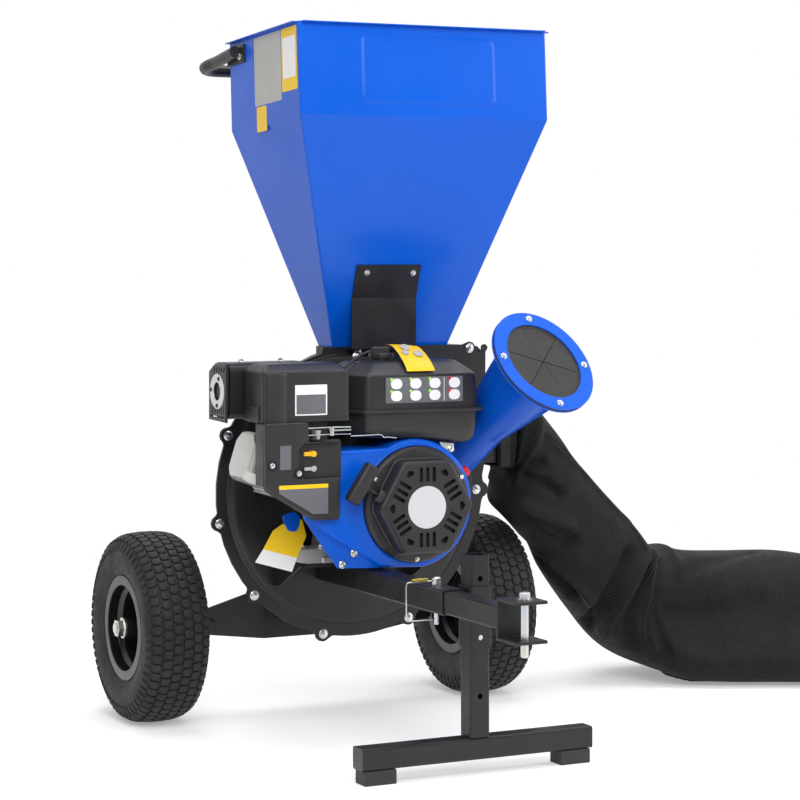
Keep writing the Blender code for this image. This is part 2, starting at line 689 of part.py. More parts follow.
def make_housing():
    """Build the dished front plate and the drum of the shredder housing."""
    steps = 32
    hub = Vector((DRUM_X, 0, DRUM_Z))
    outline = housing_outline(flange_radius, DRUM_RIGHT + 0.020, INLET_TOP, [(INLET_LEFT, INLET_TOP)], steps)
    ears = [(DRUM_X + EAR_CIRCLE_R * math.cos(math.radians(a)), DRUM_Z + EAR_CIRCLE_R * math.sin(math.radians(a)))
            for a in EAR_ANGLES]
    dish_r = 0.240
    outer_face = [(0.0, dish_r), (0.0070, 0.2370), (0.0080, 0.2310), (0.0140, 0.1500), (0.0140, 0.0850),
                  (0.0260, 0.0780), (0.0260, 0.0200)]
    inner_face = [(0.0230, 0.0200), (0.0230, 0.0760), (0.0110, 0.0830), (0.0110, 0.1500), (0.0045, 0.2340),
                  (-SHEET, dish_r)]
    shape = bmesh.new()
    add_plate(shape, outline, circle(DRUM_X, DRUM_Z, dish_r, 36), FLANGE_Y, FLANGE_Y + SHEET, "Y")
    add_lathe(shape, outer_face + inner_face, hub + Vector((0, FLANGE_Y, 0)), (0, -1, 0), 36, False)
    front = place("housing_front", shape, "black_powder_coat")
    for x, z in ears:
        weld(front, prism("ear", circle(x, z, EAR_R, 12), FLANGE_Y, FLANGE_Y + SHEET, "Y", "black_powder_coat"))
    entry = CHUTE_MOUTH - CHUTE_DIRECTION * CHUTE_LENGTH
    cut(front, rod("chute_way", entry - CHUTE_DIRECTION * 0.05, entry + CHUTE_DIRECTION * 0.06,
                   CHUTE_TUBE_R + 2 * GAP, 24))

    flange_start = FLANGE_Y + SHEET + GAP
    band = housing_outline(drum_radius, DRUM_RIGHT, INLET_TOP, [(0.008, 0.6440), (0.045, INLET_TOP)], steps)
    inner = housing_outline(room_radius, DRUM_RIGHT - SHEET, INLET_TOP - SHEET,
                            [(0.008, 0.6410), (0.045, INLET_TOP - SHEET)], steps)
    drum = prism("housing_drum", band, flange_start + 0.001, DRUM_BACK + SHEET, "Y", "black_powder_coat")
    weld(drum, box("collar", (COLLAR_LEFT, flange_start + 0.001, 0.615), (COLLAR_RIGHT, COLLAR_BACK, INLET_TOP)))
    weld(drum, prism("flange", outline, flange_start, flange_start + SHEET, "Y", "black_powder_coat"))
    for x, z in ears:
        weld(drum, prism("ear", circle(x, z, EAR_R, 12), flange_start, flange_start + SHEET, "Y", "black_powder_coat"))
    cut(drum, prism("room", inner, flange_start - 0.01, DRUM_BACK, "Y", "steel"))
    throat = box("throat_way", (HOPPER_X - HOPPER_THROAT_HALF + 0.004, HOPPER_THROAT_FRONT + 0.003, 0.6),
                 (HOPPER_X + HOPPER_THROAT_HALF - 0.004, HOPPER_THROAT_BACK - 0.003, 0.7))
    duct = box("duct_way", (0.2, DUCT_FRONT, DUCT_LOW), (0.3, DUCT_BACK, DUCT_HIGH))
    cut(drum, throat, duct)


def make_duct():
    """Build the square discharge duct on the drum's right side."""
    inner = rectangle(DUCT_FRONT, DUCT_BACK, DUCT_LOW, DUCT_HIGH)
    outer = rectangle(DUCT_FRONT - 0.002, DUCT_BACK + 0.002, DUCT_LOW - 0.002, DUCT_HIGH + 0.002)
    start = DRUM_RIGHT + GAP
    duct = prism("discharge_duct", outer, start, DUCT_END, "X", "black_powder_coat", (inner,))
    flange = rectangle(DUCT_FRONT + 0.002 - 0.004, DUCT_BACK + 0.013, DUCT_LOW - 0.015, DUCT_HIGH + 0.015)
    weld(duct, prism("duct_flange", flange, start, start + SHEET, "X", "black_powder_coat", (inner,)))


def hopper_point(x, y, z):
    """Lean a point of the upright hopper back about its bottom front edge."""
    pivot = Vector((0, HOPPER_THROAT_FRONT, HOPPER_BOTTOM))
    turn = Matrix.Rotation(-HOPPER_LEAN, 3, "X")
    return turn @ (Vector((x, y, z)) - pivot) + pivot


def hopper_ring(half, front, back, z):
    """Four corners of the hopper at one height, leaned back."""
    return [hopper_point(HOPPER_X + x, y, z)
            for x, y in ((-half, front), (half, front), (half, back), (-half, back))]


def make_hopper():
    """Build the feed hopper with its upright top band, rim lip and throat flange."""
    top = HOPPER_BOTTOM + HOPPER_HEIGHT
    bend = top - HOPPER_BAND
    sheet = HOPPER_SHEET
    throat = (HOPPER_THROAT_HALF - sheet, HOPPER_THROAT_FRONT + sheet, HOPPER_THROAT_BACK - sheet)
    wide = (HOPPER_TOP_HALF - sheet, HOPPER_TOP_FRONT + sheet, HOPPER_TOP_BACK - sheet)
    lip = (HOPPER_TOP_HALF + HOPPER_LIP, HOPPER_TOP_FRONT - HOPPER_LIP, HOPPER_TOP_BACK + HOPPER_LIP)
    level = INLET_TOP + GAP
    shape = bmesh.new()
    rings = []
    for x, y0, y1, z, leaned in ((*throat, level, False), (*throat, level + 0.010, True),
                                 (*wide, bend, True), (*wide, top, True), (*lip, top, True)):
        if leaned:
            corners = hopper_ring(x, y0, y1, z)
        else:
            corners = [Vector((HOPPER_X + a, b, z)) for a, b in ((-x, y0), (x, y0), (x, y1), (-x, y1))]
        rings.append([shape.verts.new(corner) for corner in corners])
    for lower, upper in zip(rings, rings[1:]):
        join_rings(shape, lower, upper)
    hopper = place("hopper", shape, "blue_paint", smooth=False)
    thicken(hopper, sheet, -1)


def make_hopper_bracket():
    """Build the bracket that ties the hopper's front to the housing's top edge."""
    left = -0.011
    right = 0.114
    throat_z = INLET_TOP + GAP + 0.010
    slope = (HOPPER_TOP_FRONT - HOPPER_THROAT_FRONT) / (HOPPER_BOTTOM + HOPPER_HEIGHT - HOPPER_BAND - throat_z)
    clear = 0.0006

    def face(z):
        point = hopper_point(0, HOPPER_THROAT_FRONT + slope * (z - throat_z), z)
        return point.y - clear, point.z

    top_y, top_z = face(0.795)
    bend_y, bend_z = face(0.738)
    shape = bmesh.new()
    foot_y = FLANGE_Y - GAP
    shelf = INLET_TOP - 0.001
    outline = [(top_y, top_z), (bend_y, bend_z), (bend_y, shelf), (foot_y, shelf), (foot_y, DRUM_Z + 0.241)]
    columns = [[shape.verts.new((x, y, z)) for x in (left, right)] for y, z in outline]
    for upper, lower in zip(columns, columns[1:]):
        shape.faces.new((upper[0], upper[1], lower[1], lower[0]))
    bracket = place("hopper_bracket", shape, "black_powder_coat", smooth=False)
    thicken(bracket, 0.002, -1)


def make_handle():
    """Build the push handle: a bent tube with flattened ends bolted to the hopper's sides."""
    side_x = HOPPER_TOP_HALF + 0.0115
    start = hopper_point(0, -0.060, 1.180)
    middle = hopper_point(0, 0.030, 1.172)
    back_y = 0.122
    back_z = 1.150
    corners = []
    for side in (-1, 1):
        x = HOPPER_X + side * side_x
        ends = [(x, start.y, start.z), (x, middle.y, middle.z), (x + side * 0.012, back_y, back_z)]
        corners += ends if side < 0 else list(reversed(ends))
    path = bend_path(corners, 0.030, 4)
    handle = sweep("push_handle", path, 0.011, 12, "black_powder_coat")
    plate = [hopper_point(0, y, z) for y, z in ((-0.078, 1.160), (-0.004, 1.160), (-0.004, 1.192), (-0.078, 1.192))]
    outline = [(point.y, point.z) for point in plate]
    for side in (-1, 1):
        inner = HOPPER_X + side * (HOPPER_TOP_HALF + GAP)
        spans = sorted((inner, inner + side * 0.003))
        weld(handle, prism("handle_plate", outline, *spans, "X", "black_powder_coat"))


def make_chute():
    """Build the chipping chute, its mouth ring and the slit rubber guard in it."""
    centre = CHUTE_MOUTH
    back = -CHUTE_DIRECTION
    wall = CHUTE_WALL
    profile = [(GAP, CHUTE_MOUTH_R), (CHUTE_CONE, CHUTE_TUBE_R), (CHUTE_LENGTH, CHUTE_TUBE_R),
               (CHUTE_LENGTH, CHUTE_TUBE_R - wall), (CHUTE_CONE, CHUTE_TUBE_R - wall), (GAP, CHUTE_MOUTH_R - wall)]
    chute = lathe("chute_tube", profile, centre, back, 32, "blue_paint")
    collar = [(0.0003, CHUTE_MOUTH_R - 0.002), (0.0003, RING_R), (0.0028, RING_R), (0.0028, CHUTE_MOUTH_R - 0.0025)]
    weld(chute, lathe("collar", collar, centre, back, 32, "blue_paint"))
    cut(chute, box("trim", (0, CHUTE_END_Y, 0.3), (0.4, 0, 0.6)))
    guard_profile = [(0, 0), (0, RING_R - 0.002), (GUARD_T, RING_R - 0.002), (GUARD_T, 0)]
    guard = lathe("splash_guard", guard_profile, centre, CHUTE_DIRECTION, 32, "rubber", False)
    side, up = axis_frame(CHUTE_DIRECTION)
    for i in range(3):
        angle = math.radians(20 + 60 * i)
        along = side * math.cos(angle) + up * math.sin(angle)
        across = CHUTE_DIRECTION.cross(along)
        cut(guard, slit(centre, along, across))
    ring_start = GUARD_T + GAP
    ring = [(ring_start, CHUTE_MOUTH_R - 0.001), (ring_start, RING_R), (ring_start + RING_T, RING_R),
            (ring_start + RING_T, CHUTE_MOUTH_R - 0.001)]
    lathe("chute_ring", ring, centre, CHUTE_DIRECTION, 32, "blue_paint")


def slit(centre, along, across):
    """A thin cutter through the rubber guard that leaves its rim whole."""
    reach = CHUTE_MOUTH_R - 0.006
    shape = bmesh.new()
    for depth in (-0.01, 0.02):
        for a, b in ((-1, -1), (1, -1), (1, 1), (-1, 1)):
            shape.verts.new(centre + CHUTE_DIRECTION * depth + along * a * reach + across * b * 0.0006)
    bmesh.ops.convex_hull(shape, input=shape.verts)
    return place("slit", shape, "rubber")


def make_rotor():
    """Build the rotor: knife disc with hub and flail pins, back plate, knives and flails."""
    axis = Vector((CRANK_X, 0, CRANK_Z))
    disc_back = DISC_FRONT + DISC_T
    pin_end = PLATE_Y + PLATE_T + 0.004
    disc = prism("rotor_disc", circle(CRANK_X, CRANK_Z, DISC_R, 36), DISC_FRONT, disc_back, "Y", "steel", (), axis)
    weld(disc, prism("hub", circle(CRANK_X, CRANK_Z, 0.024, 16), disc_back - WELD, PLATE_Y - GAP, "Y", "steel"))
    cut(disc, rod("shaft_way", axis + Vector((0, -0.2, 0)), axis, SHAFT_R + GAP, 16))
    pins = []
    for i in range(4):
        angle = math.radians(45 + 90 * i)
        pins.append((CRANK_X + FLAIL_PIN_CIRCLE * math.cos(angle), CRANK_Z + FLAIL_PIN_CIRCLE * math.sin(angle)))
    for x, z in pins:
        weld(disc, prism("flail_pin", circle(x, z, FLAIL_PIN_R, 12), disc_back - WELD, pin_end, "Y", "steel"))
    holes = [circle(x, z, FLAIL_PIN_R + GAP, 12) for x, z in pins]
    holes.append(circle(CRANK_X, CRANK_Z, SHAFT_R + GAP, 16))
    prism("rotor_plate", circle(CRANK_X, CRANK_Z, PLATE_R, 32), PLATE_Y, PLATE_Y + PLATE_T, "Y", "steel", holes, axis)

    for i in range(2):
        turn = math.pi * i
        along = Vector((math.cos(turn), 0, math.sin(turn)))
        across = Vector((-math.sin(turn), 0, math.cos(turn)))
        slot = knife_block(axis, along, across, -0.022, 0.006, DISC_FRONT - 0.01, disc_back + 0.01, 0.070, 0.182)
        cut(disc, slot)
        knife = knife_block(axis, along, across, 0.0065, 0.048, DISC_FRONT - GAP - 0.0015, DISC_FRONT - GAP, 0.072, 0.180)
        knife.name = f"chipping_knife_{i + 1}"

    gap_y = (disc_back + PLATE_Y) / 2
    for i, (x, z) in enumerate(pins):
        y = gap_y + (0.017 if i % 2 else -0.017)
        outline = arc(x, z, FLAIL_WIDTH / 2, 0, 180, 8)
        outline += [(x - FLAIL_WIDTH / 2, z - FLAIL_LENGTH + 0.014), (x - FLAIL_WIDTH / 2 + 0.006, z - FLAIL_LENGTH),
                    (x + FLAIL_WIDTH / 2 - 0.006, z - FLAIL_LENGTH), (x + FLAIL_WIDTH / 2, z - FLAIL_LENGTH + 0.014)]
        bore = circle(x, z, FLAIL_PIN_R + GAP, 12)
        prism(f"flail_{i + 1}", outline, y - FLAIL_T / 2, y + FLAIL_T / 2, "Y", "steel", (bore,), (x, y, z))


def knife_block(axis, along, across, side0, side1, low, high, start, end):
    """A block on the rotor disc between two radii, offset sideways from the radius."""
    shape = bmesh.new()
    for y in (low, high):
        for r, s in ((start, side0), (end, side0), (end, side1), (start, side1)):
            point = axis + along * r + across * s
            shape.verts.new((point.x, y, point.z))
    bmesh.ops.convex_hull(shape, input=shape.verts)
    return place("knife", shape, "steel", axis, smooth=False)


def make_engine_core():
    """Build the crankshaft, crankcase, finned cylinder and head, and the valve cover."""
    axis = Vector((CRANK_X, 0, CRANK_Z))
    start = SHROUD_FRONT + 0.045
    rod("crankshaft", axis + Vector((0, start, 0)), axis + Vector((0, PLATE_Y + PLATE_T + 0.012, 0)), SHAFT_R, 16,
        "steel", axis)

    tilt = CYLINDER_TILT
    along = Vector((-math.cos(tilt), 0, math.sin(tilt)))
    across = Vector((math.sin(tilt), 0, math.cos(tilt)))
    case_front = SHROUD_BACK + GAP
    deck = 0.1125
    deck_top = axis + along * (deck - GAP) + across * 0.048
    deck_low = axis + along * (deck - GAP) - across * 0.048
    body = [(-0.125, BED_TOP + GAP), (0.096, BED_TOP + GAP), (0.096, BED_TOP + 0.012), (0.082, BED_TOP + 0.016)]
    body += arc(CRANK_X, CRANK_Z, 0.082, -35, 65, 8)
    body += [(0.030, TANK_SUMP - GAP), (-0.020, TANK_SUMP - GAP)] + arc(CRANK_X, CRANK_Z, 0.082, 110, 125, 1)
    body += [(deck_top.x, deck_top.z), (deck_low.x, deck_low.z), (-0.088, BED_TOP + 0.034),
             (-0.092, BED_TOP + 0.014), (-0.125, BED_TOP + 0.012)]
    case = prism("crankcase", body, case_front, PTO_Y, "Y", "cast_aluminium")
    soften(case, 0.003, 1, 50)
    cut(case, rod("shaft_way", axis + Vector((0, -0.4, 0)), axis, SHAFT_R + 2 * GAP, 16))

    def comb(start, end, core, fin, count):
        """Outline of a finned block in distance along and across the bore."""
        pitch = (end - start) / count
        upper = []
        for i in range(count):
            a = start + i * pitch
            upper += [(a, fin), (a + pitch * 0.45, fin), (a + pitch * 0.45, core), (a + pitch, core)]
        upper[-1] = (end, core)
        lower = [(a, -b) for a, b in reversed(upper)]
        return [tuple((axis + along * a + across * b)[k] for k in (0, 2)) for a, b in upper + lower]

    prism("cylinder", comb(deck, BARREL_END, 0.036, 0.050, 7), CYLINDER_FRONT + 0.003, CYLINDER_BACK - 0.003, "Y",
          "cast_aluminium")
    head = prism("cylinder_head", comb(BARREL_END + GAP, HEAD_END, 0.040, 0.052, 4), CYLINDER_FRONT, CYLINDER_BACK, "Y",
                 "cast_aluminium")
    port = [axis + along * a + across * b for a, b in rectangle(PORT_ALONG - 0.012, PORT_ALONG + 0.012, 0.036, PORT_HIGH)]
    weld(head, prism("port", [(p.x, p.z) for p in port], PORT_Y - 0.014, PORT_Y + 0.014, "Y", "cast_aluminium"))
    corners = [axis + along * a + across * b for a, b in rectangle(HEAD_END + GAP, COVER_END, -0.047, 0.047)]
    cover = [(corner.x, corner.z) for corner in corners]
    valve_cover = prism("valve_cover", cover, CYLINDER_FRONT + 0.002, CYLINDER_BACK - 0.002, "Y", "cast_aluminium")
    soften(valve_cover, 0.009, 2, 50)


def make_shroud():
    """Build the painted fan shroud, the flywheel fan inside and the starter housing."""
    outline = arc(CRANK_X, CRANK_Z, SHROUD_R, 118, -82, 20)
    outline += [(-0.095, 0.2975), (-0.131, 0.3005), (-0.172, 0.377), (-0.196, 0.402), (-0.196, 0.492)]
    shroud = prism("fan_shroud", outline, SHROUD_FRONT, SHROUD_BACK, "Y", "blue_paint")
    soften(shroud, 0.007, 2, 60)
    room = arc(CRANK_X, CRANK_Z, SHROUD_R - SHEET, 116, -80, 20)
    room += [(-0.0925, 0.3008), (-0.1293, 0.3038), (-0.1695, 0.3785), (-0.193, 0.403), (-0.193, 0.489)]
    cut(shroud, prism("room", room, SHROUD_FRONT + SHEET, SHROUD_BACK + 0.01, "Y", "steel"))
    cut(shroud, rod("fan_way", (CRANK_X, SHROUD_FRONT - 0.01, CRANK_Z), (CRANK_X, SHROUD_FRONT + 0.01, CRANK_Z), 0.0915, 32))

    fan_y = SHROUD_FRONT + 0.049
    hub = prism("flywheel_fan", circle(CRANK_X, CRANK_Z, 0.078, 28), fan_y, SHROUD_BACK - 0.008, "Y",
                "cast_aluminium", (circle(CRANK_X, CRANK_Z, SHAFT_R + GAP, 16),), (CRANK_X, 0, CRANK_Z))
    for i in range(12):
        angle = 2 * math.pi * i / 12
        along = Vector((math.cos(angle), 0, math.sin(angle)))
        across = Vector((-math.sin(angle), 0, math.cos(angle)))
        blade = knife_block(Vector((CRANK_X, 0, CRANK_Z)), along, across, -0.0015, 0.0015, fan_y - 0.016,
                            fan_y + WELD, 0.040, 0.077)
        weld(hub, blade)

    axis_front = Vector((CRANK_X, SHROUD_FRONT - GAP, CRANK_Z))
    ring = [(0, 0.070), (0, RECOIL_R), (0.008, RECOIL_R), (0.013, RECOIL_R - 0.006), (0.013, 0.074), (0.002, 0.070)]
    cover = lathe("recoil_cover", ring, axis_front, (0, -1, 0), 36, "black_plastic")
    shape = bmesh.new()
    outer = circle(CRANK_X, CRANK_Z, 0.0880, 6)
    inner = circle(CRANK_X, CRANK_Z, 0.0830, 6)
    add_prism(shape, outer, SHROUD_FRONT - 0.010, RECOIL_FRONT, "Y", (inner,))
    dome = place("dome", shape, "black_plastic")
    weld(dome, prism("face", outer, RECOIL_FRONT + 0.004, RECOIL_FRONT, "Y", "black_plastic"))
    soften(dome, 0.006, 1, 50)
    weld(cover, dome)
    slots = []
    for k in range(6):
        middle = math.radians(30 + 60 * k)
        out = Vector((math.cos(middle), 0, math.sin(middle)))
        across = Vector((-math.sin(middle), 0, math.cos(middle)))
        for offset in (-0.012, 0.0, 0.012):
            slots.append(knife_block(Vector((CRANK_X, 0, CRANK_Z)), out, across, offset - 0.0027, offset + 0.0027,
                                     RECOIL_FRONT - 0.01, RECOIL_FRONT + 0.01, 0.040, 0.063))
        corner = Vector((CRANK_X, RECOIL_FRONT, CRANK_Z))
        corner += Vector((math.cos(middle + math.pi / 6), 0, math.sin(middle + math.pi / 6))) * 0.061
        slots.append(rod("vent", corner - Vector((0, 0.01, 0)), corner + Vector((0, 0.01, 0)), 0.005, 8))
    cut(cover, *slots)
    start = ROPE_START + ROPE_DIRECTION * 0.014
    cut(cover, rod("rope_way", start, start + ROPE_DIRECTION * 0.026, 0.0045, 12))


def make_starter():
    """Build the pull grip and the starter rope that runs into the starter housing."""
    half = Vector((ROPE_DIRECTION.z, 0, -ROPE_DIRECTION.x)) * GRIP_HALF
    grip = sweep("starter_grip", [GRIP_MIDDLE - half, GRIP_MIDDLE, GRIP_MIDDLE + half], 0.0105, 10, "black_plastic",
                 GRIP_MIDDLE)
    weld(grip, sweep("stem", [GRIP_MIDDLE, ROPE_START - ROPE_DIRECTION * GAP], 0.006, 10, "black_plastic"))
    soften(grip, 0.003, 1, 50)
    sweep("starter_rope", [ROPE_START, ROPE_START + ROPE_DIRECTION * ROPE_LENGTH], 0.002, 8, "rope", ROPE_START)


def make_tank():
    """Build the fuel tank with its seam flange, and the filler cap."""
    def section(inset, z):
        return [Vector((x, y, z)) for x, y in
                rounded_rectangle(TANK_LEFT + inset, TANK_RIGHT - inset, TANK_FRONT + inset, TANK_BACK - inset, 0.026, 3)]

    levels = [(0.020, TANK_LOW), (0.006, TANK_LOW + 0.012), (0.002, TANK_SEAM - 0.002), (-0.006, TANK_SEAM - 0.002),
              (-0.006, TANK_SEAM + 0.002), (0.002, TANK_SEAM + 0.002), (0.004, TANK_HIGH - 0.0235),
              (0.030, TANK_HIGH - 0.003), (0.044, TANK_HIGH)]
    shape = bmesh.new()
    rings = [[shape.verts.new(point) for point in section(inset, z)] for inset, z in levels]
    for lower, upper in zip(rings, rings[1:]):
        join_rings(shape, lower, upper)
    shape.faces.new(list(reversed(rings[0])))
    shape.faces.new(rings[-1])
    tank = place("fuel_tank", shape, "black_plastic")
    weld(tank, box("sump", (-0.070, SHROUD_BACK + GAP, TANK_SUMP), (0.120, TANK_BACK - 0.010, TANK_LOW + 0.006)))

    cap = [(0, 0), (0, 0.018), (0.004, 0.018), (0.004, 0.022), (0.017, 0.022), (0.020, 0.019), (0.020, 0)]
    lathe("fuel_cap", cap, (CAP_X, CAP_Y, TANK_HIGH + GAP), (0, 0, 1), 24, "black_plastic", False)


def make_air_cleaner():
    """Build the air cleaner box and the control panel below it."""
    cleaner = box("air_cleaner", (-0.271, -0.387, 0.5425), (-0.1145, -0.3105, 0.638), "black_plastic")
    soften(cleaner, 0.010, 2, 60)
    weld(cleaner, box("carburettor", (-0.190, -0.374, 0.4938), (-0.145, -0.318, 0.550)))
    outline = [(-0.272, 0.542), (-0.272, 0.440), (-0.267, 0.431), (-0.184, 0.3815), (-0.1385, 0.3815),
               (-0.1385, 0.5145), (-0.195, 0.5145), (-0.195, 0.542)]
    panel = prism("control_panel", outline, -0.400, SHROUD_FRONT - GAP, "Y", "black_plastic")
    soften(panel, 0.005, 2, 60)
    window = box("lever_way", (-0.212, -0.42, 0.452), (-0.162, LEVER_WALL, 0.508))
    cut(panel, window)


def make_muffler():
    """Build the exhaust silencer and its slotted heat guard."""
    body = box("muffler", (-0.288, -0.298, 0.553), (-0.165, -0.242, 0.628), "steel")
    soften(body, 0.010, 2, 60)
    tilt = CYLINDER_TILT
    along = Vector((-math.cos(tilt), 0, math.sin(tilt)))
    across = Vector((math.sin(tilt), 0, math.cos(tilt)))
    foot = Vector((CRANK_X, PORT_Y, CRANK_Z)) + along * PORT_ALONG + across * (PORT_HIGH + GAP)
    path = bend_path([foot, foot + across * 0.006, Vector((-0.186, PORT_Y, 0.558))], 0.009, 3)
    weld(body, sweep("pipe", path, 0.008, 12, "steel"))
    for x in (-0.262, -0.190):
        weld(body, rod("spacer", (x, -0.270, 0.620), (x, -0.270, 0.636 - GAP), 0.006, 12))
    guard = box("muffler_guard", (-0.300, -0.309, 0.5417), (-0.155, -0.231, 0.639), "black_powder_coat")
    soften(guard, 0.006, 2, 60)
    cut(guard, box("room", (-0.297, -0.306, 0.5), (-0.158, -0.234, 0.636)))
    outlet = rod("outlet", (-0.32, -0.270, 0.590), (-0.280, -0.270, 0.590), 0.017, 16)
    cut(guard, outlet)


def make_levers():
    """Build the choke lever, fuel cock, throttle lever and stop switch."""
    face = LEVER_WALL - GAP
    tip = -0.4015
    lever_x = -0.1880
    choke = rod("choke_lever", (lever_x, tip, 0.492), (lever_x, face, 0.492), 0.005, 12, "yellow_plastic",
                (lever_x, -0.39, 0.492))
    weld(choke, box("tab", (lever_x - 0.017, tip, 0.489), (lever_x, -0.3975, 0.4955)))
    cock = rod("fuel_cock", (lever_x, tip, 0.468), (lever_x, face, 0.468), 0.005, 12, "zinc", (lever_x, -0.39, 0.468))
    weld(cock, box("tab", (lever_x - 0.017, tip, 0.4655), (lever_x, -0.3985, 0.4705)))
    throttle_x = -0.1525
    throttle_y = -0.393
    throttle = rod("throttle_lever", (throttle_x, throttle_y, 0.520 + GAP), (throttle_x, throttle_y, 0.533), 0.0045, 12,
                   "zinc")
    weld(throttle, box("arm", (throttle_x, throttle_y - 0.003, 0.5275), (-0.118, throttle_y + 0.003, 0.5300)))
    angle = math.atan2(0.447 - CRANK_Z, 0.1046 - CRANK_X)
    out = Vector((math.cos(angle), 0, math.sin(angle)))
    middle = Vector((CRANK_X, -0.370, CRANK_Z)) + out * (SHROUD_R + GAP)
    switch = rod("engine_switch", middle, middle + out * 0.010, 0.009, 16, "red_plastic")
    soften(switch, 0.002, 2, 50)


def bag_sections():
    """Middle line of the bag with its half width, half height and squareness at each step."""
    return [
        ((0.296, -0.095, 0.500), (1.0, 0.0, 0.0), 0.0515, 0.0685, 20.0),
        ((0.324, -0.095, 0.500), (1.0, 0.0, 0.0), 0.0515, 0.0685, 20.0),
        ((0.358, -0.093, 0.484), (0.93, 0.03, -0.36), 0.058, 0.078, 3.0),
        ((0.402, -0.082, 0.410), (0.61, 0.20, -0.76), 0.068, 0.088, 2.6),
        ((0.470, -0.056, 0.340), (0.70, 0.22, -0.68), 0.078, 0.092, 2.4),
        ((0.537, -0.032, 0.270), (0.72, 0.20, -0.66), 0.090, 0.100, 2.3),
        ((0.603, -0.014, 0.206), (0.76, 0.14, -0.63), 0.102, 0.106, 2.3),
        ((0.672, -0.002, 0.152), (0.88, 0.00, -0.42), 0.115, 0.118, 2.4),
        ((0.756, -0.006, 0.118), (0.93, -0.28, -0.08), 0.124, 0.118, 2.6),
        ((0.850, -0.045, 0.110), (0.894, -0.449, 0.0), 0.130, 0.114, 2.6),
        ((0.950, -0.095, 0.106), (0.894, -0.449, 0.0), 0.134, 0.108, 2.5),
        ((1.040, -0.140, 0.094), (0.894, -0.449, 0.0), 0.138, 0.094, 2.4),
        ((1.105, -0.172, 0.068), (0.894, -0.449, 0.0), 0.142, 0.064, 2.3),
        ((1.134, -0.187, 0.032), (0.894, -0.449, 0.0), 0.144, 0.026, 2.2),
    ]


def bag_ring(section, inset, count):
    """Points round one cross-section of the bag, flat where it lies on the ground."""
    centre, direction, half_width, half_height, power = section
    centre = Vector(centre)
    direction = Vector(direction).normalized()
    side = Vector((0, 0, 1)).cross(direction).normalized()
    up = direction.cross(side).normalized()
    points = []
    for i in range(count):
        angle = 2 * math.pi * i / count
        c = math.cos(angle)
        s = math.sin(angle)
        stretch = (abs(c) ** power + abs(s) ** power) ** (-1 / power)
        point = centre + side * (half_width - inset) * c * stretch + up * (half_height - inset) * s * stretch
        point.z = max(point.z, inset)
        points.append(point)
    return points


def make_bag():
    """Build the cloth collecting bag, hollow, with its mouth round the duct, and its strap."""
    count = 24
    sections = bag_sections()
    shape = bmesh.new()
    outer = [[shape.verts.new(point) for point in bag_ring(section, 0.0, count)] for section in sections]
    inner = [[shape.verts.new(point) for point in bag_ring(section, BAG_WALL, count)] for section in sections[:-1]]
    for rings in (outer, inner):
        for lower, upper in zip(rings, rings[1:]):
            join_rings(shape, lower, upper)
    join_rings(shape, outer[0], inner[0])
    shape.faces.new(outer[-1])
    shape.faces.new(inner[-1])
    place("collecting_bag", shape, "bag_cloth")

    centre, direction, half_width, half_height, power = sections[0]
    shape = bmesh.new()
    rings = []
    for x, grow in ((0.300, GAP), (0.300, 0.0025), (0.320, 0.0025), (0.320, GAP)):
        band = ((x, centre[1], centre[2]), direction, half_width + grow, half_height + grow, power)
        rings.append([shape.verts.new(point) for point in bag_ring(band, 0.0, count)])
    for lower, upper in zip(rings, rings[1:] + rings[:1]):
        join_rings(shape, lower, upper)
    place("bag_strap", shape, "rope")


def main():
    """Build the whole machine."""
    global MACHINE
    clear_scene()
    MACHINE = bpy.data.objects.new("machine", None)
    bpy.context.scene.collection.objects.link(MACHINE)
    MACHINE.location = -BOX_CENTRE
    for side, label in ((-1, "left"), (1, "right")):
        make_wheel(side, label)
    make_axle()
    make_tow_frame()
    make_clevis()
    make_stand()
    make_housing()
    make_duct()
    make_hopper()
    make_hopper_bracket()
    make_handle()
    make_chute()
    make_rotor()
    make_engine_core()
    make_shroud()
    make_starter()
    make_tank()
    make_air_cleaner()
    make_muffler()
    make_levers()
    make_bag()


main()
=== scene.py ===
"""Looks of the tow-behind wood chipper: finishes, fine pieces, and the studio round it.

Every piece is drawn in the machine's own frame, in metres. Its origin is on the ground under
the middle of the axle, +X is the bag's side and -Y the towing end. A finished piece is
shifted into the model's frame as a whole, so that its object stays at the origin.
"""

from __future__ import annotations

import logging
import math
from dataclasses import dataclass
from enum import Enum
from typing import Any, Iterable, Sequence

import bmesh
import bpy
import numpy as np
from mathutils import Matrix, Vector


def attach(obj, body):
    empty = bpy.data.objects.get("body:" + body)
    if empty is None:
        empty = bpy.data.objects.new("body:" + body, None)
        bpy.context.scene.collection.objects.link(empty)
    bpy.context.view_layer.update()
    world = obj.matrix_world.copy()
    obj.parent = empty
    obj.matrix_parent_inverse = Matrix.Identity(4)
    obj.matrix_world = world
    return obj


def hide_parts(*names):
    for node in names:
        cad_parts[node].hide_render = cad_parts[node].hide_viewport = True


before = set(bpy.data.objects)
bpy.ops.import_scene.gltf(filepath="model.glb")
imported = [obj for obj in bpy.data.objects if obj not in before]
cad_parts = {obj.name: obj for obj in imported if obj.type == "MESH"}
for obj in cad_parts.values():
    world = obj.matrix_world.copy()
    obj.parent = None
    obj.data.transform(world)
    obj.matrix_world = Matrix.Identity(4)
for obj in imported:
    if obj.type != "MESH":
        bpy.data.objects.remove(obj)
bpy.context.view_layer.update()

LOG = logging.getLogger("chipper")
MACHINE_ORIGIN = Vector((-0.4068, 0.3570, 0.0))
FORWARD = (0.0, -1.0, 0.0)

# A piece set on another reaches SINK into it. An edge past CREASE degrees stays sharp.
SINK = 0.0006
CREASE = 32.0
COAT_ROUGHNESS = 0.06

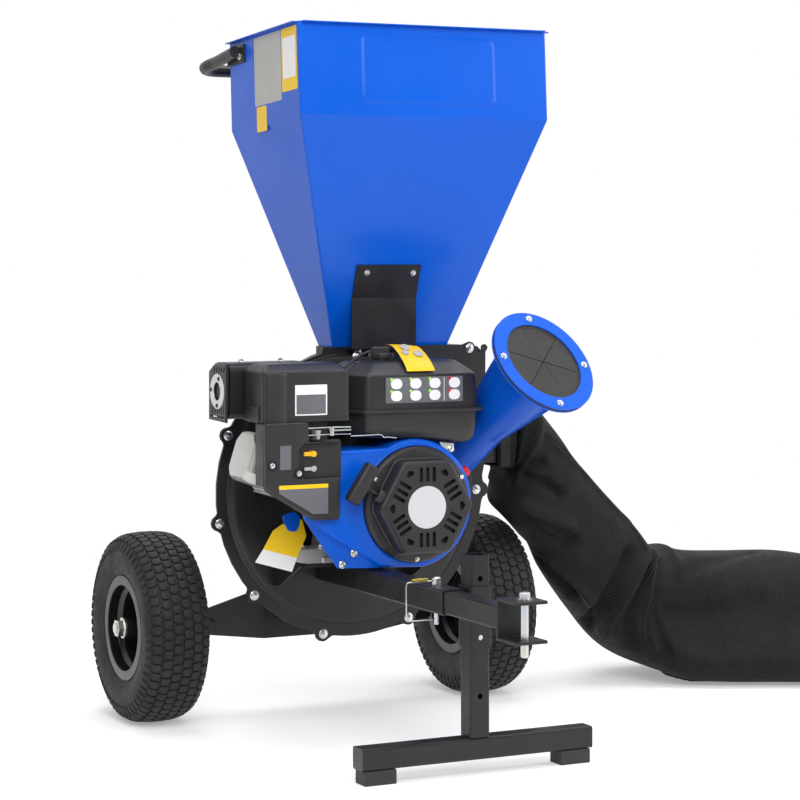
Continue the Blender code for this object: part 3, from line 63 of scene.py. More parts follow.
# A corner whose half angle is past NEARLY_STRAIGHT, in radians, isn't rounded. A rounding takes up
# at most CORNER_SHARE of a side, and SHARPEST_MITRE keeps the mitre of a sharp corner short.
NEARLY_STRAIGHT = 1.4
CORNER_SHARE = 0.48
SHARPEST_MITRE = 0.3

Colour = tuple[float, float, float]
Point = tuple[float, float, float]
Outline = list[tuple[float, float]]


class Slot(Enum):
    """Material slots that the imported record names."""

    BLACK_COAT = "black_powder_coat"
    BLUE = "blue_paint"
    ZINC = "zinc"
    STEEL = "steel"
    CAST = "cast_aluminium"
    TYRE = "tyre_rubber"
    RUBBER = "rubber"
    PLASTIC = "black_plastic"
    YELLOW = "yellow_plastic"
    RED = "red_plastic"
    CLOTH = "bag_cloth"
    ROPE = "rope"


class Signal:
    """A value flowing out of a node. Arithmetic on it adds Math nodes to its tree."""

    def __init__(self, graph: Graph, socket: bpy.types.NodeSocket) -> None:
        """Wrap one output socket of a tree."""
        self.graph = graph
        self.socket = socket

    def part(self, name: str | int) -> Signal:
        """Return another output of the same node."""
        return Signal(self.graph, self.socket.node.outputs[name])

    def _math(self, operation: str, first: Any, second: Any = None) -> Signal:
        """Add one Math node and return its result."""
        return self.graph.node("ShaderNodeMath", {"operation": operation}, {0: first, 1: second})

    def __add__(self, other: Any) -> Signal:
        """Add."""
        return self._math("ADD", self, other)

    def __sub__(self, other: Any) -> Signal:
        """Subtract."""
        return self._math("SUBTRACT", self, other)

    def __rsub__(self, other: Any) -> Signal:
        """Subtract this value from a number."""
        return self._math("SUBTRACT", other, self)

    def __mul__(self, other: Any) -> Signal:
        """Multiply."""
        return self._math("MULTIPLY", self, other)

    def sine(self) -> Signal:
        """Return the sine."""
        return self._math("SINE", self)

    def top(self, other: Any) -> Signal:
        """Return the larger of the two values."""
        return self._math("MAXIMUM", self, other)


class Graph:
    """A node tree under construction, for a material, the world or Geometry Nodes."""

    def __init__(self, tree: bpy.types.NodeTree) -> None:
        """Work on a tree."""
        self.tree = tree

    def node(
        self,
        kind: str,
        settings: dict[str, Any] | None = None,
        inputs: dict[int | str, Any] | None = None,
        output: int | str = 0,
    ) -> Signal:
        """Add a node.

        Args:
            kind: the node's type.
            settings: properties that are set first.
            inputs: values or signals by the socket's name or number.
            output: the output to return.

        Returns:
            The signal of the named output.
        """
        item = self.tree.nodes.new(kind)
        for key, value in (settings or {}).items():
            setattr(item, key, value)
        for key, value in (inputs or {}).items():
            if isinstance(value, Signal):
                self.tree.links.new(value.socket, item.inputs[key])
            elif value is not None:
                item.inputs[key].default_value = value
        return Signal(self, item.outputs[output] if len(item.outputs) else item.inputs[0])

    def mix(self, factor: Any, first: Any, second: Any) -> Signal:
        """Blend two colours.

        Args:
            factor: how much of the second colour shows.
            first: a colour or a signal.
            second: a colour or a signal.

        Returns:
            The blended colour.
        """
        values = [(*c, 1.0) if isinstance(c, tuple) else c for c in (first, second)]
        return self.node("ShaderNodeMix", {"data_type": "RGBA"}, {0: factor, 6: values[0], 7: values[1]}, 2)

    def span(self, value: Any, low: float, high: float, first: float = 0.0, last: float = 1.0) -> Signal:
        """Map a range of values smoothly to another.

        Args:
            value: the signal to map.
            low: the value that gives first.
            high: the value that gives last.
            first: the result at low and under it.
            last: the result at high and over it.

        Returns:
            The mapped signal.
        """
        return self.node("ShaderNodeMapRange", {"interpolation_type": "SMOOTHSTEP"},
                         {0: value, 1: low, 2: high, 3: first, 4: last})

    def noise(self, point: Signal, scale: float, detail: float = 3.0) -> Signal:
        """Return a cloud between 0 and 1 that has scale cells in a metre."""
        return self.node("ShaderNodeTexNoise", None, {"Vector": point, "Scale": scale, "Detail": detail})


@dataclass(frozen=True)
class Finish:
    """A surface: its colour and gloss, how they wander, and its grain.

    The colour is darkened by up to shade in clouds of cloud cells a metre, the roughness moves by
    spread, and the grain is a relief of depth metres with grain cells a metre.
    """

    name: str
    slot: Slot
    colour: Colour
    roughness: float
    metallic: float = 0.0
    coat: float = 0.0
    shade: float = 0.15
    cloud: float = 8.0
    spread: float = 0.08
    grain: float = 900.0
    depth: float = 0.00002
    specular: float = 0.5

    def tone(self, graph: Graph, point: Signal) -> Signal:
        """Return the colour over the surface."""
        dark = tuple(c * (1.0 - self.shade) for c in self.colour)
        return graph.mix(graph.span(graph.noise(point, self.cloud), 0.3, 0.7), dark, self.colour)

    def gloss(self, graph: Graph, point: Signal) -> Signal:
        """Return the roughness over the surface."""
        cloud = graph.noise(point, self.cloud * 3.0)
        return graph.span(cloud, 0.25, 0.75, self.roughness - self.spread, self.roughness + self.spread)

    def relief(self, graph: Graph, point: Signal) -> Signal:
        """Return the height of the grain, from 0 to 1."""
        return graph.noise(point, self.grain, 2.0)

    def material(self) -> bpy.types.Material:
        """Build the finish on first use.

        Returns:
            The finish as a material.
        """
        found = bpy.data.materials.get(self.name)
        if found:
            return found
        material = bpy.data.materials.new(self.name)
        material.use_nodes = True
        graph = Graph(material.node_tree)
        shader = material.node_tree.nodes["Principled BSDF"]
        point = graph.node("ShaderNodeTexCoord", output="Object")
        bump = graph.node("ShaderNodeBump", None, {"Strength": 1.0, "Distance": self.depth,
                                                   "Height": self.relief(graph, point)})
        for name, value in (("Base Color", self.tone(graph, point)), ("Roughness", self.gloss(graph, point)),
                            ("Normal", bump)):
            graph.tree.links.new(value.socket, shader.inputs[name])
        shader.inputs["Metallic"].default_value = self.metallic
        shader.inputs["Coat Weight"].default_value = self.coat
        shader.inputs["Coat Roughness"].default_value = COAT_ROUGHNESS
        shader.inputs["Specular IOR Level"].default_value = self.specular
        return material


@dataclass(frozen=True)
class WornSteel(Finish):
    """Bare or plated metal, with drawn streaks and a second tint where the plating is thin."""

    tint: Colour = (0.5, 0.5, 0.5)

    def tone(self, graph: Graph, point: Signal) -> Signal:
        """Return the metal's colour, which wanders to its tint."""
        cloud = graph.span(graph.noise(point, self.cloud * 6.0), 0.35, 0.65)
        return graph.mix(cloud, self.colour, self.tint)


@dataclass(frozen=True)
class CastMetal(Finish):
    """Die-cast or sand-cast metal with a pebbled skin."""

    def relief(self, graph: Graph, point: Signal) -> Signal:
        """Pebble the skin.

        Args:
            graph: the material's tree.
            point: the place on the surface.

        Returns:
            The height of pebbles of two sizes.
        """
        cells = graph.node("ShaderNodeTexVoronoi", None, {"Vector": point, "Scale": self.grain})
        return cells * 0.6 + graph.noise(point, self.grain * 2.5) * 0.4


@dataclass(frozen=True)
class MouldedPlastic(Finish):
    """Moulded plastic with a fine leather grain."""

    def relief(self, graph: Graph, point: Signal) -> Signal:
        """Dimple the skin.

        Args:
            graph: the material's tree.
            point: the place on the surface.

        Returns:
            The height of the dimples between the cells of the grain.
        """
        cells = graph.node("ShaderNodeTexVoronoi", {"feature": "SMOOTH_F1"},
                           {"Vector": point, "Scale": self.grain})
        return graph.span(cells, 0.1, 0.6)


@dataclass(frozen=True)
class PrintedFilm(Finish):
    """A thin printed film, smooth and even."""

    shade: float = 0.04
    grain: float = 300.0
    depth: float = 0.000004


@dataclass(frozen=True)
class RibbedCloth(Finish):
    """Woven mesh cloth: ribs along V of its UV map, which is in metres, crossed by thin threads."""

    rib: float = 0.0026
    thread: float = 0.0013

    def _rib(self, graph: Graph) -> Signal:
        """Draw the ribs and the threads across them.

        Args:
            graph: the material's tree.

        Returns:
            A height, from 0 in a groove to 1 on a crest.
        """
        place = graph.node("ShaderNodeSeparateXYZ", None,
                           {0: graph.node("ShaderNodeUVMap", {"uv_map": "weave"})})
        wave = (place.part("Y") * (2.0 * math.pi / self.rib)).sine() * 0.5 + 0.5
        cross = (place.part("X") * (2.0 * math.pi / self.thread)).sine() * 0.5 + 0.5
        return wave * 0.75 + cross * 0.25

    def tone(self, graph: Graph, point: Signal) -> Signal:
        """Colour the ribs.

        Args:
            graph: the material's tree.
            point: the place on the surface.

        Returns:
            The thread's colour on the ribs, and a painted shade between them.
        """
        # Between the ribs the colour falls to 0.35 of the thread's: painted shade in the grooves.
        dark = tuple(c * 0.35 for c in self.colour)
        worn = graph.mix(graph.span(graph.noise(point, self.cloud), 0.35, 0.65), self.colour,
                         tuple(c * (1.0 + self.shade) for c in self.colour))
        return graph.mix(self._rib(graph), dark, worn)

    def relief(self, graph: Graph, point: Signal) -> Signal:
        """Return the ribs as a height."""
        return self._rib(graph)


BLACK_COAT = Finish("black_coat", Slot.BLACK_COAT, (0.0135, 0.0125, 0.0140), 0.40, shade=0.2,
                    grain=1500.0, depth=0.00005, specular=0.45)
RIM_COAT = Finish("rim_coat", Slot.BLACK_COAT, (0.012, 0.012, 0.013), 0.22, grain=300.0, depth=0.00001)
BLUE = Finish("blue_coat", Slot.BLUE, (0.0, 0.098, 0.62), 0.30, coat=0.08, shade=0.08, cloud=3.0,
              spread=0.05, grain=260.0, depth=0.00001, specular=0.26)
ZINC = WornSteel("zinc_plate", Slot.ZINC, (0.66, 0.70, 0.74), 0.28, 1.0, tint=(0.74, 0.73, 0.66),
                 depth=0.000008)
STEEL = WornSteel("bare_steel", Slot.STEEL, (0.36, 0.36, 0.37), 0.38, 1.0, tint=(0.25, 0.23, 0.21))
CAST = CastMetal("cast_metal", Slot.CAST, (0.62, 0.61, 0.59), 0.42, 0.85, grain=700.0, depth=0.00008)
TYRE = Finish("tyre", Slot.TYRE, (0.022, 0.021, 0.022), 0.62, shade=0.35, cloud=14.0, grain=1100.0,
              depth=0.00004, specular=0.35)
RUBBER = Finish("rubber_moulding", Slot.RUBBER, (0.030, 0.029, 0.029), 0.66, grain=800.0, depth=0.00004)
PLASTIC = MouldedPlastic("moulded_black", Slot.PLASTIC, (0.0235, 0.0220, 0.0235), 0.42, grain=1300.0,
                         depth=0.00004, specular=0.45)
GREY_LABEL = PrintedFilm("grey_film", Slot.PLASTIC, (0.13, 0.13, 0.15), 0.45, shade=0.15)
WHITE_FILM = PrintedFilm("white_film", Slot.PLASTIC, (0.80, 0.80, 0.80), 0.40)
PALE_FILM = PrintedFilm("pale_film", Slot.BLUE, (0.42, 0.42, 0.40), 0.45, shade=0.05)
YELLOW_FILM = PrintedFilm("yellow_film", Slot.YELLOW, (0.86, 0.55, 0.0), 0.40)
DULL_YELLOW = Finish("dull_yellow", Slot.YELLOW, (0.40, 0.30, 0.04), 0.5, depth=0.00001)
GREEN_FILM = PrintedFilm("green_film", Slot.YELLOW, (0.36, 0.72, 0.10), 0.45, shade=0.05)
YELLOW = MouldedPlastic("moulded_yellow", Slot.YELLOW, (0.92, 0.45, 0.01), 0.35, depth=0.00003)
RED = MouldedPlastic("moulded_red", Slot.RED, (0.68, 0.006, 0.02), 0.30)
BADGE = Finish("badge_film", Slot.CAST, (0.66, 0.67, 0.69), 0.35, 0.25, shade=0.05, grain=400.0,
               depth=0.000006)
CLOTH = RibbedCloth("mesh_cloth", Slot.CLOTH, (0.0140, 0.0148, 0.0125), 0.66, shade=0.5, cloud=12.0,
                    depth=0.0011, specular=0.22, rib=0.0036, thread=0.0020)
WEBBING = RibbedCloth("webbing", Slot.ROPE, (0.012, 0.012, 0.012), 0.75, rib=0.002, thread=0.004,
                      depth=0.0004)
THREAD = Finish("sewing_thread", Slot.CLOTH, (0.060, 0.062, 0.055), 0.7, grain=2000.0, depth=0.0001)
ROPE = Finish("braided_rope", Slot.ROPE, (0.030, 0.030, 0.030), 0.8, depth=0.0003)
# A near-black finish used as painted shade, on the rims round the panel's screws.
SHADE_BLACK = Finish("dark_opening", Slot.PLASTIC, (0.004, 0.004, 0.004), 0.8)

SLOT_FINISH = {finish.slot: finish for finish in (
    BLACK_COAT, BLUE, ZINC, STEEL, CAST, TYRE, RUBBER, PLASTIC, YELLOW, RED, CLOTH, ROPE)}


def arc(u: float, v: float, radius: float, start: float, end: float, steps: int) -> Outline:
    """Return points along an arc from a start to an end angle in degrees, both included."""
    angles = [math.radians(start + (end - start) * i / steps) for i in range(steps + 1)]
    return [(u + radius * math.cos(a), v + radius * math.sin(a)) for a in angles]


def circle(u: float, v: float, radius: float, steps: int) -> Outline:
    """Return points of a circle, counter-clockwise."""
    return arc(u, v, radius, 0.0, 360.0, steps)[:-1]


def rounded(u0: float, u1: float, v0: float, v1: float, radius: float, steps: int) -> Outline:
    """Draw a rectangle with round corners, counter-clockwise.

    Args:
        u0: its left side.
        u1: its right side.
        v0: its lower side.
        v1: its upper side.
        radius: the radius of its corners.
        steps: the segments of each corner.

    Returns:
        The outline.
    """
    left, right, low, high = u0 + radius, u1 - radius, v0 + radius, v1 - radius
    corners = ((right, low), (right, high), (left, high), (left, low))
    return [point for k, (u, v) in enumerate(corners)
            for point in arc(u, v, radius, 90 * k - 90, 90 * k, steps)]


def soften_corners(corners: Outline, radius: float, steps: int = 4) -> Outline:
    """Round every corner of a closed outline.

    Args:
        corners: the outline's corner points.
        radius: the radius of each corner, which is cut down where a side is too short.
        steps: the segments of each arc.

    Returns:
        The outline with an arc at each corner.
    """
    points = [Vector(corner) for corner in corners]
    result: Outline = []
    for i, corner in enumerate(points):
        back = points[i - 1] - corner
        ahead = points[(i + 1) % len(points)] - corner
        half = back.angle(ahead) / 2.0
        if half > NEARLY_STRAIGHT:
            result.append((corner.x, corner.y))
            continue
        reach = min(radius / math.tan(half), CORNER_SHARE * back.length, CORNER_SHARE * ahead.length)
        start = corner + back.normalized() * reach
        end = corner + ahead.normalized() * reach
        for k in range(steps + 1):
            t = k / steps
            point = start * (1 - t) ** 2 + corner * 2 * t * (1 - t) + end * t ** 2
            result.append((point.x, point.y))
    return result


def inset(outline: Outline, distance: float) -> Outline:
    """Move every side of a closed outline inward and keep the corners mitred.

    Args:
        outline: the outline.
        distance: how far the sides move; a negative distance makes it grow.

    Returns:
        The new outline, with as many points.
    """
    turns = sum(a[0] * b[1] - b[0] * a[1] for a, b in zip(outline, outline[1:] + outline[:1]))
    sign = math.copysign(1.0, turns)
    corners = [Vector(point) for point in outline]
    result: Outline = []
    for i, point in enumerate(outline):
        sides = (corners[i] - corners[i - 1], corners[(i + 1) % len(corners)] - corners[i])
        first, second = (Vector((-side.y, side.x)).normalized() * sign for side in sides)
        shift = (first + second) * (distance / max(1.0 + first.dot(second), SHARPEST_MITRE))
        result.append((point[0] + shift.x, point[1] + shift.y))
    return result


def placed(outline: Outline, angle: float, shift: tuple[float, float]) -> Outline:
    """Turn an outline about its origin, and then move it.

    Args:
        outline: the outline.
        angle: how far it turns, in degrees.
        shift: how far it moves.

    Returns:
        The outline in its place.
    """
    cosine = math.cos(math.radians(angle))
    sine = math.sin(math.radians(angle))
    return [(u * cosine - v * sine + shift[0], u * sine + v * cosine + shift[1]) for u, v in outline]


def smooth_step(value: float) -> float:
    """Return a smooth ramp from 0 to 1."""
    value = min(max(value, 0.0), 1.0)
    return value * value * (3.0 - 2.0 * value)


def spline(points: Sequence[Sequence[float]], steps: int) -> list[Vector]:
    """Return a smooth line through points.

    Args:
        points: the points that it passes through.
        steps: the segments between two of them.

    Returns:
        Points on the line, the first and last among them.
    """
    line = [Vector(p) for p in points]
    line = [line[0] * 2 - line[1]] + line + [line[-1] * 2 - line[-2]]
    result = []
    for a, b, c, d in zip(line, line[1:], line[2:], line[3:]):
        for k in range(steps):
            t = k / steps
            result.append(0.5 * (2 * b + (c - a) * t + (2 * a - 5 * b + 4 * c - d) * t ** 2
                                 + (3 * b - a - 3 * c + d) * t ** 3))
    result.append(line[-2])
    return result


def axis_frame(direction: Sequence[float]) -> tuple[Vector, Vector]:
    """Find two unit vectors square to a direction and to each other.

    Args:
        direction: the direction, of any length.

    Returns:
        The vector to the side and the one upward.
    """
    direction = Vector(direction).normalized()
    helper = Vector((0, 0, 1)) if abs(direction.z) < 0.9 else Vector((1, 0, 0))
    side = direction.cross(helper).normalized()
    return side, side.cross(direction).normalized()


def to_space(u: float, v: float, w: float, axis: str) -> Vector:
    """Turn plane coordinates and a height along the named axis into a point."""
    return Vector({"X": (w, u, v), "Y": (u, w, v), "Z": (u, v, w)}[axis])


class Shape:
    """A mesh being drawn in the machine's frame."""

    def __init__(self) -> None:
        """Start with nothing drawn."""
        self.mesh = bmesh.new()

    def ring(self, points: Iterable[Sequence[float]]) -> list[bmesh.types.BMVert]:
        """Add loose points."""
        return [self.mesh.verts.new(point) for point in points]

    def bridge(self, rings: Sequence[Sequence[Any]], looped: bool = False, closed: bool = True) -> Shape:
        """Put faces between neighbouring rings of points.

        Args:
            rings: rings made by ring(); a ring of one point is a pole.
            looped: whether the last ring joins the first.
            closed: whether each ring closes on itself.

        Returns:
            This shape.
        """
        pairs = list(zip(rings, rings[1:])) + ([(rings[-1], rings[0])] if looped else [])
        for lower, upper in pairs:
            count = max(len(lower), len(upper))
            for i in range(count if closed else count - 1):
                j = (i + 1) % count
                if len(lower) == 1:
                    self.mesh.faces.new((lower[0], upper[j], upper[i]))
                elif len(upper) == 1:
                    self.mesh.faces.new((lower[i], lower[j], upper[0]))
                else:
                    self.mesh.faces.new((lower[i], lower[j], upper[j], upper[i]))
        return self

    def loft(self, sections: Sequence[Iterable[Sequence[float]]], looped: bool = False) -> Shape:
        """Skin a row of closed sections, with flat ends unless it is looped.

        Args:
            sections: the sections, each with as many points as the others or with one.
            looped: whether the last one joins the first.

        Returns:
            This shape.
        """
        rings = [self.ring(section) for section in sections]
        self.bridge(rings, looped)
        if not looped:
            for end in (rings[0], rings[-1]):
                if len(end) > 2:
                    self.mesh.faces.new(end)
        return self

    def lathe(
        self,
        profile: Sequence[tuple[float, float]],
        centre: Sequence[float],
        direction: Sequence[float],
        steps: int = 64,
        looped: bool = True,
    ) -> Shape:
        """Turn a profile round an axis.

        Args:
            profile: pairs of a distance along the axis and a radius.
            centre: the point of the axis at distance 0.
            direction: the axis.
            steps: the segments round it.
            looped: whether the profile closes on itself, as a ring's does.

        Returns:
            This shape.
        """
        centre = Vector(centre)
        along = Vector(direction).normalized()
        side, up = axis_frame(along)
        rings = []
        for distance, radius in profile:
            middle = centre + along * distance
            if radius < 1e-9:
                rings.append(self.ring([middle]))
                continue
            angles = [2 * math.pi * i / steps for i in range(steps)]
            rings.append(self.ring(middle + (side * math.cos(a) + up * math.sin(a)) * radius for a in angles))
        return self.bridge(rings, looped)

    def prism(self, outline: Outline, low: float, high: float, axis: str = "Z",
              holes: Sequence[Outline] = ()) -> Shape:
        """Add a straight prism between two heights, with any number of through holes.

        Args:
            outline: its outline.
            low: the height where it starts.
            high: the height where it ends.
            axis: the axis that it stands along.
            holes: outlines cut through it.

        Returns:
            This shape.
        """
        edges = []
        for loop in (outline, *holes):
            points = self.ring(to_space(u, v, low, axis) for u, v in loop)
            edges += [self.mesh.edges.new((p, points[(i + 1) % len(points)])) for i, p in enumerate(points)]
        filled = bmesh.ops.triangle_fill(self.mesh, use_beauty=True, use_dissolve=False, edges=edges)
        faces = [item for item in filled["geom"] if isinstance(item, bmesh.types.BMFace)]
        grown = bmesh.ops.extrude_face_region(self.mesh, geom=faces, use_keep_orig=True)
        moved = [item for item in grown["geom"] if isinstance(item, bmesh.types.BMVert)]
        bmesh.ops.translate(self.mesh, verts=moved, vec=to_space(0, 0, high - low, axis))
        return self

    def cap(self, loops: Sequence[Sequence[bmesh.types.BMVert]]) -> None:
        """Fill a flat area.

        Args:
            loops: the outer loop of points and the loops of its holes.
        """
        edges = []
        for loop in loops:
            for i, point in enumerate(loop):
                pair = (point, loop[(i + 1) % len(loop)])
                edges.append(self.mesh.edges.get(pair) or self.mesh.edges.new(pair))
        bmesh.ops.triangle_fill(self.mesh, use_beauty=True, use_dissolve=False, edges=edges)

    def cushion(
        self,
        outline: Outline,
        low: float,
        high: float,
        axis: str = "Y",
        radius: float = 0.006,
        holes: Sequence[Outline] = (),
        wall: float = 0.0,
        steps: int = 4,
    ) -> Shape:
        """Add a moulding that stands from low to high and whose high edge is round.

        Args:
            outline: its outline at the foot.
            low: the place of its foot on the axis.
            high: the place of its face on the axis.
            axis: the axis that it stands along.
            radius: the radius of the round edge.
            holes: outlines cut through it.
            wall: the thickness of its walls where it is hollow and open at the foot.
            steps: the segments of the round edge.

        Returns:
            This shape.
        """
        sign = math.copysign(1.0, high - low)
        rings = [self.ring(to_space(u, v, low, axis) for u, v in outline)]
        for k in range(steps + 1):
            turn = 0.5 * math.pi * k / steps
            height = high - sign * radius * (1.0 - math.sin(turn))
            level = inset(outline, radius * (1.0 - math.cos(turn)))
            rings.append(self.ring(to_space(u, v, height, axis) for u, v in level))
        self.bridge(rings)
        floor = high - sign * wall if wall else low
        fronts = [self.ring(to_space(u, v, high, axis) for u, v in hole) for hole in holes]
        backs = [self.ring(to_space(u, v, floor, axis) for u, v in hole) for hole in holes]
        self.cap([rings[-1], *fronts])
        for pair in zip(fronts, backs):
            self.bridge(pair)
        last = rings[0]
        if wall:
            inner = [self.ring(to_space(u, v, height, axis) for u, v in inset(outline, wall))
                     for height in (low, floor)]
            self.bridge([rings[0], *inner])
            last = inner[-1]
        self.cap([last, *backs])
        return self

    def sweep(self, path: Sequence[Sequence[float]], section: Outline) -> Shape:
        """Carry a closed section along a path, with flat ends.

        Args:
            path: the points that the section's origin follows.
            section: the section's outline.

        Returns:
            This shape.
        """
        path = [Vector(point) for point in path]
        last = len(path) - 1
        tangents = [(path[min(i + 1, last)] - path[max(i - 1, 0)]).normalized() for i in range(last + 1)]
        side, up = axis_frame(tangents[0])
        sections = []
        for i, (point, tangent) in enumerate(zip(path, tangents)):
            if i:
                turn = tangents[i - 1].rotation_difference(tangent)
                side = turn @ side
                up = turn @ up
            sections.append([point + side * a + up * b for a, b in section])
        return self.loft(sections)

    def turned(self, matrix: Matrix) -> Shape:
        """Move everything drawn so far by a matrix."""
        bmesh.ops.transform(self.mesh, matrix=matrix, verts=self.mesh.verts)
        return self

    def mesh_data(self, name: str, shift: Vector = MACHINE_ORIGIN) -> bpy.types.Mesh:
        """Close the drawing.

        Args:
            name: the mesh's name.
            shift: how far it is moved, by default into the model's frame.

        Returns:
            The drawing as a mesh with its normals outward.
        """
        bmesh.ops.remove_doubles(self.mesh, verts=self.mesh.verts, dist=1e-6)
        bmesh.ops.recalc_face_normals(self.mesh, faces=self.mesh.faces)
        bmesh.ops.translate(self.mesh, verts=self.mesh.verts, vec=shift)
        data = bpy.data.meshes.new(name)
        self.mesh.to_mesh(data)
        self.mesh.free()
        return data


def baked(item: bpy.types.Object) -> bpy.types.Object:
    """Replace an object's mesh by its evaluated one and drop its modifiers.

    Args:
        item: the object.

    Returns:
        The same object.
    """
    bpy.context.view_layer.update()
    graph = bpy.context.evaluated_depsgraph_get()
    data = bpy.data.meshes.new_from_object(item.evaluated_get(graph))
    item.modifiers.clear()
    item.data = data
    return item


def loose_object(data: bpy.types.Mesh, name: str) -> bpy.types.Object:
    """Put a mesh in the scene.

    Args:
        data: the mesh.
        name: the object's name.

    Returns:
        The new object.
    """
    item = bpy.data.objects.new(name, data)
    bpy.context.scene.collection.objects.link(item)
    return item


def seed_points(name: str, spots: Sequence[Vector], axes: Iterable[Vector]) -> bpy.types.Mesh:
    """Make a mesh of loose points that each carry an axis.

    Args:
        name: the mesh's name.
        spots: the points, in the model's frame.
        axes: the axis of each point, of length 1.

    Returns:
        The mesh.
    """
    seed = bpy.data.meshes.new(name)
    seed.from_pydata(spots, [], [])
    record = seed.attributes.new("axis", "FLOAT_VECTOR", "POINT")
    for item, axis in zip(record.data, axes):
        item.vector = axis
    return seed


def seats(
    direction: Sequence[float], *places: Sequence[float]
) -> list[tuple[Sequence[float], Sequence[float]]]:
    """Pair the centre of every bolt's seat with the direction in which the head looks."""
    return [(place, direction) for place in places]


class Generator:
    """A Geometry Nodes tree with named sizes, which turns a seed mesh into a plain mesh."""

    def __init__(self, name: str, sizes: dict[str, float | int]) -> None:
        """Start the tree.

        Args:
            name: the tree's name.
            sizes: its named inputs with their defaults.
        """
        self.tree = bpy.data.node_groups.new(name, "GeometryNodeTree")
        self.graph = Graph(self.tree)
        face = self.tree.interface
        face.new_socket("Seed mesh", in_out="INPUT", socket_type="NodeSocketGeometry")
        face.new_socket("Result", in_out="OUTPUT", socket_type="NodeSocketGeometry")
        self.keys = {}
        for label, value in sizes.items():
            kind = "NodeSocketInt" if isinstance(value, int) else "NodeSocketFloat"
            socket = face.new_socket(label, in_out="INPUT", socket_type=kind)
            socket.default_value = value
            self.keys[label] = socket.identifier
        self.source = self.graph.node("NodeGroupInput")

    def size(self, label: str) -> Signal:
        """Return one of the named sizes."""
        return self.source.part(label)

    def stand(self, piece: Signal) -> Signal:
        """Stand a piece on every point of the seed mesh, along the point's axis.

        Args:
            piece: the piece, whose foot is its origin.

        Returns:
            The instances.
        """
        axis = self.graph.node("GeometryNodeInputNamedAttribute", {"data_type": "FLOAT_VECTOR"},
                               {"Name": "axis"})
        turn = self.graph.node("FunctionNodeAlignRotationToVector", {"axis": "Z"}, {"Vector": axis})
        return self.graph.node("GeometryNodeInstanceOnPoints", None,
                               {"Points": self.source.part("Seed mesh"), "Instance": piece, "Rotation": turn})

    def close(self, geometry: Signal, finish: Finish) -> Generator:
        """End the tree by making its instances real and giving them their material.

        Args:
            geometry: what the tree has made.
            finish: its surface.

        Returns:
            This generator.
        """
        real = self.graph.node("GeometryNodeRealizeInstances", None, {0: geometry})
        dressed = self.graph.node("GeometryNodeSetMaterial", None,
                                  {"Geometry": real, "Material": finish.material()})
        self.graph.node("NodeGroupOutput", None, {0: dressed})
        return self

    def bake(self, seed: bpy.types.Mesh, name: str, sizes: dict[str, float | int]) -> bpy.types.Mesh:
        """Run the tree once.

        Args:
            seed: the mesh that it starts from.
            name: the result's name.
            sizes: values for its named inputs.

        Returns:
            The resulting mesh.
        """
        item = loose_object(seed, name + "_seed")
        modifier = item.modifiers.new("tree", "NODES")
        modifier.node_group = self.tree
        for label, value in sizes.items():
            modifier[self.keys[label]] = value
        data = baked(item).data
        bpy.data.objects.remove(item, do_unlink=True)
        data.name = name
        return data


def bolt_generator(finish: Finish) -> Generator:
    """Build a tree that stands a flanged hexagon bolt on every point of its seed mesh.

    Args:
        finish: the bolts' surface.

    Returns:
        The tree, with the inputs Across, Height, Flange and Seed.
    """
    tree = Generator("flange_bolts_" + finish.name,
                     {"Across": 0.0058, "Height": 0.0048, "Flange": 0.0085, "Seed": 3})
    graph = tree.graph
    across = tree.size("Across")
    height = tree.size("Height")
    flange = tree.size("Flange")

    def stage(sides: int, low: Any, high: Any, top: Any, base: Any) -> Signal:
        """Make one tapered storey of the bolt.

        Args:
            sides: its number of sides.
            low: the height of its foot.
            high: the height of its top.
            top: the radius of its top.
            base: the radius of its foot.

        Returns:
            The storey.
        """
        cone = graph.node("GeometryNodeMeshCone", None, {
            "Vertices": sides, "Radius Top": top, "Radius Bottom": base, "Depth": high - low})
        lift = graph.node("ShaderNodeCombineXYZ", None, {"Z": low})
        return graph.node("GeometryNodeTransform", None, {"Geometry": cone, "Translation": lift})

    zero = height * 0.0
    stages = [
        stage(24, zero - SINK, height * 0.22, flange, flange),
        stage(24, height * 0.22, height * 0.42, across * 1.08, flange * 0.96),
        stage(6, height * 0.36, height * 0.92, across, across),
        stage(24, height * 0.88, height, across * 0.62, across * 0.92),
        stage(12, height, height * 1.12, across * 0.25, across * 0.55),
    ]
    bolt = graph.node("GeometryNodeJoinGeometry")
    for item in stages:
        graph.tree.links.new(item.socket, bolt.socket.node.inputs[0])
    stood = tree.stand(bolt)
    spin = graph.node("FunctionNodeRandomValue", {"data_type": "FLOAT"},
                      {"Min": 0.0, "Max": math.pi, "Seed": tree.size("Seed")}, 1)
    twist = graph.node("FunctionNodeAxisAngleToRotation", None, {"Axis": (0.0, 0.0, 1.0), "Angle": spin})
    turned = graph.node("GeometryNodeRotateInstances", None, {"Instances": stood, "Rotation": twist})
    return tree.close(turned, finish)


def ring_generator(name: str, finish: Finish, axis: Point) -> Generator:
    """Return a tree that repeats its seed mesh round an axis through the origin.

    Args:
        name: the tree's name.
        finish: the material of the result.
        axis: the axis as a unit vector.

    Returns:
        The tree, with the inputs Count and Phase, in turns of one pitch.
    """
    tree = Generator(name, {"Count": 12, "Phase": 0.0})
    graph = tree.graph
    count = tree.size("Count")
    row = graph.node("GeometryNodeMeshLine", None, {"Count": count, "Offset": (0.0, 0.0, 0.0)})
    step = graph.node("GeometryNodeInputIndex") + tree.size("Phase")
    share = graph.node("ShaderNodeMath", {"operation": "DIVIDE"}, {0: step, 1: count})
    turn = graph.node("FunctionNodeAxisAngleToRotation", None,
                      {"Axis": axis, "Angle": share * (2.0 * math.pi)})
    copies = graph.node("GeometryNodeInstanceOnPoints", None,
                        {"Points": row, "Instance": tree.source.part("Seed mesh"), "Rotation": turn})
    return tree.close(copies, finish)


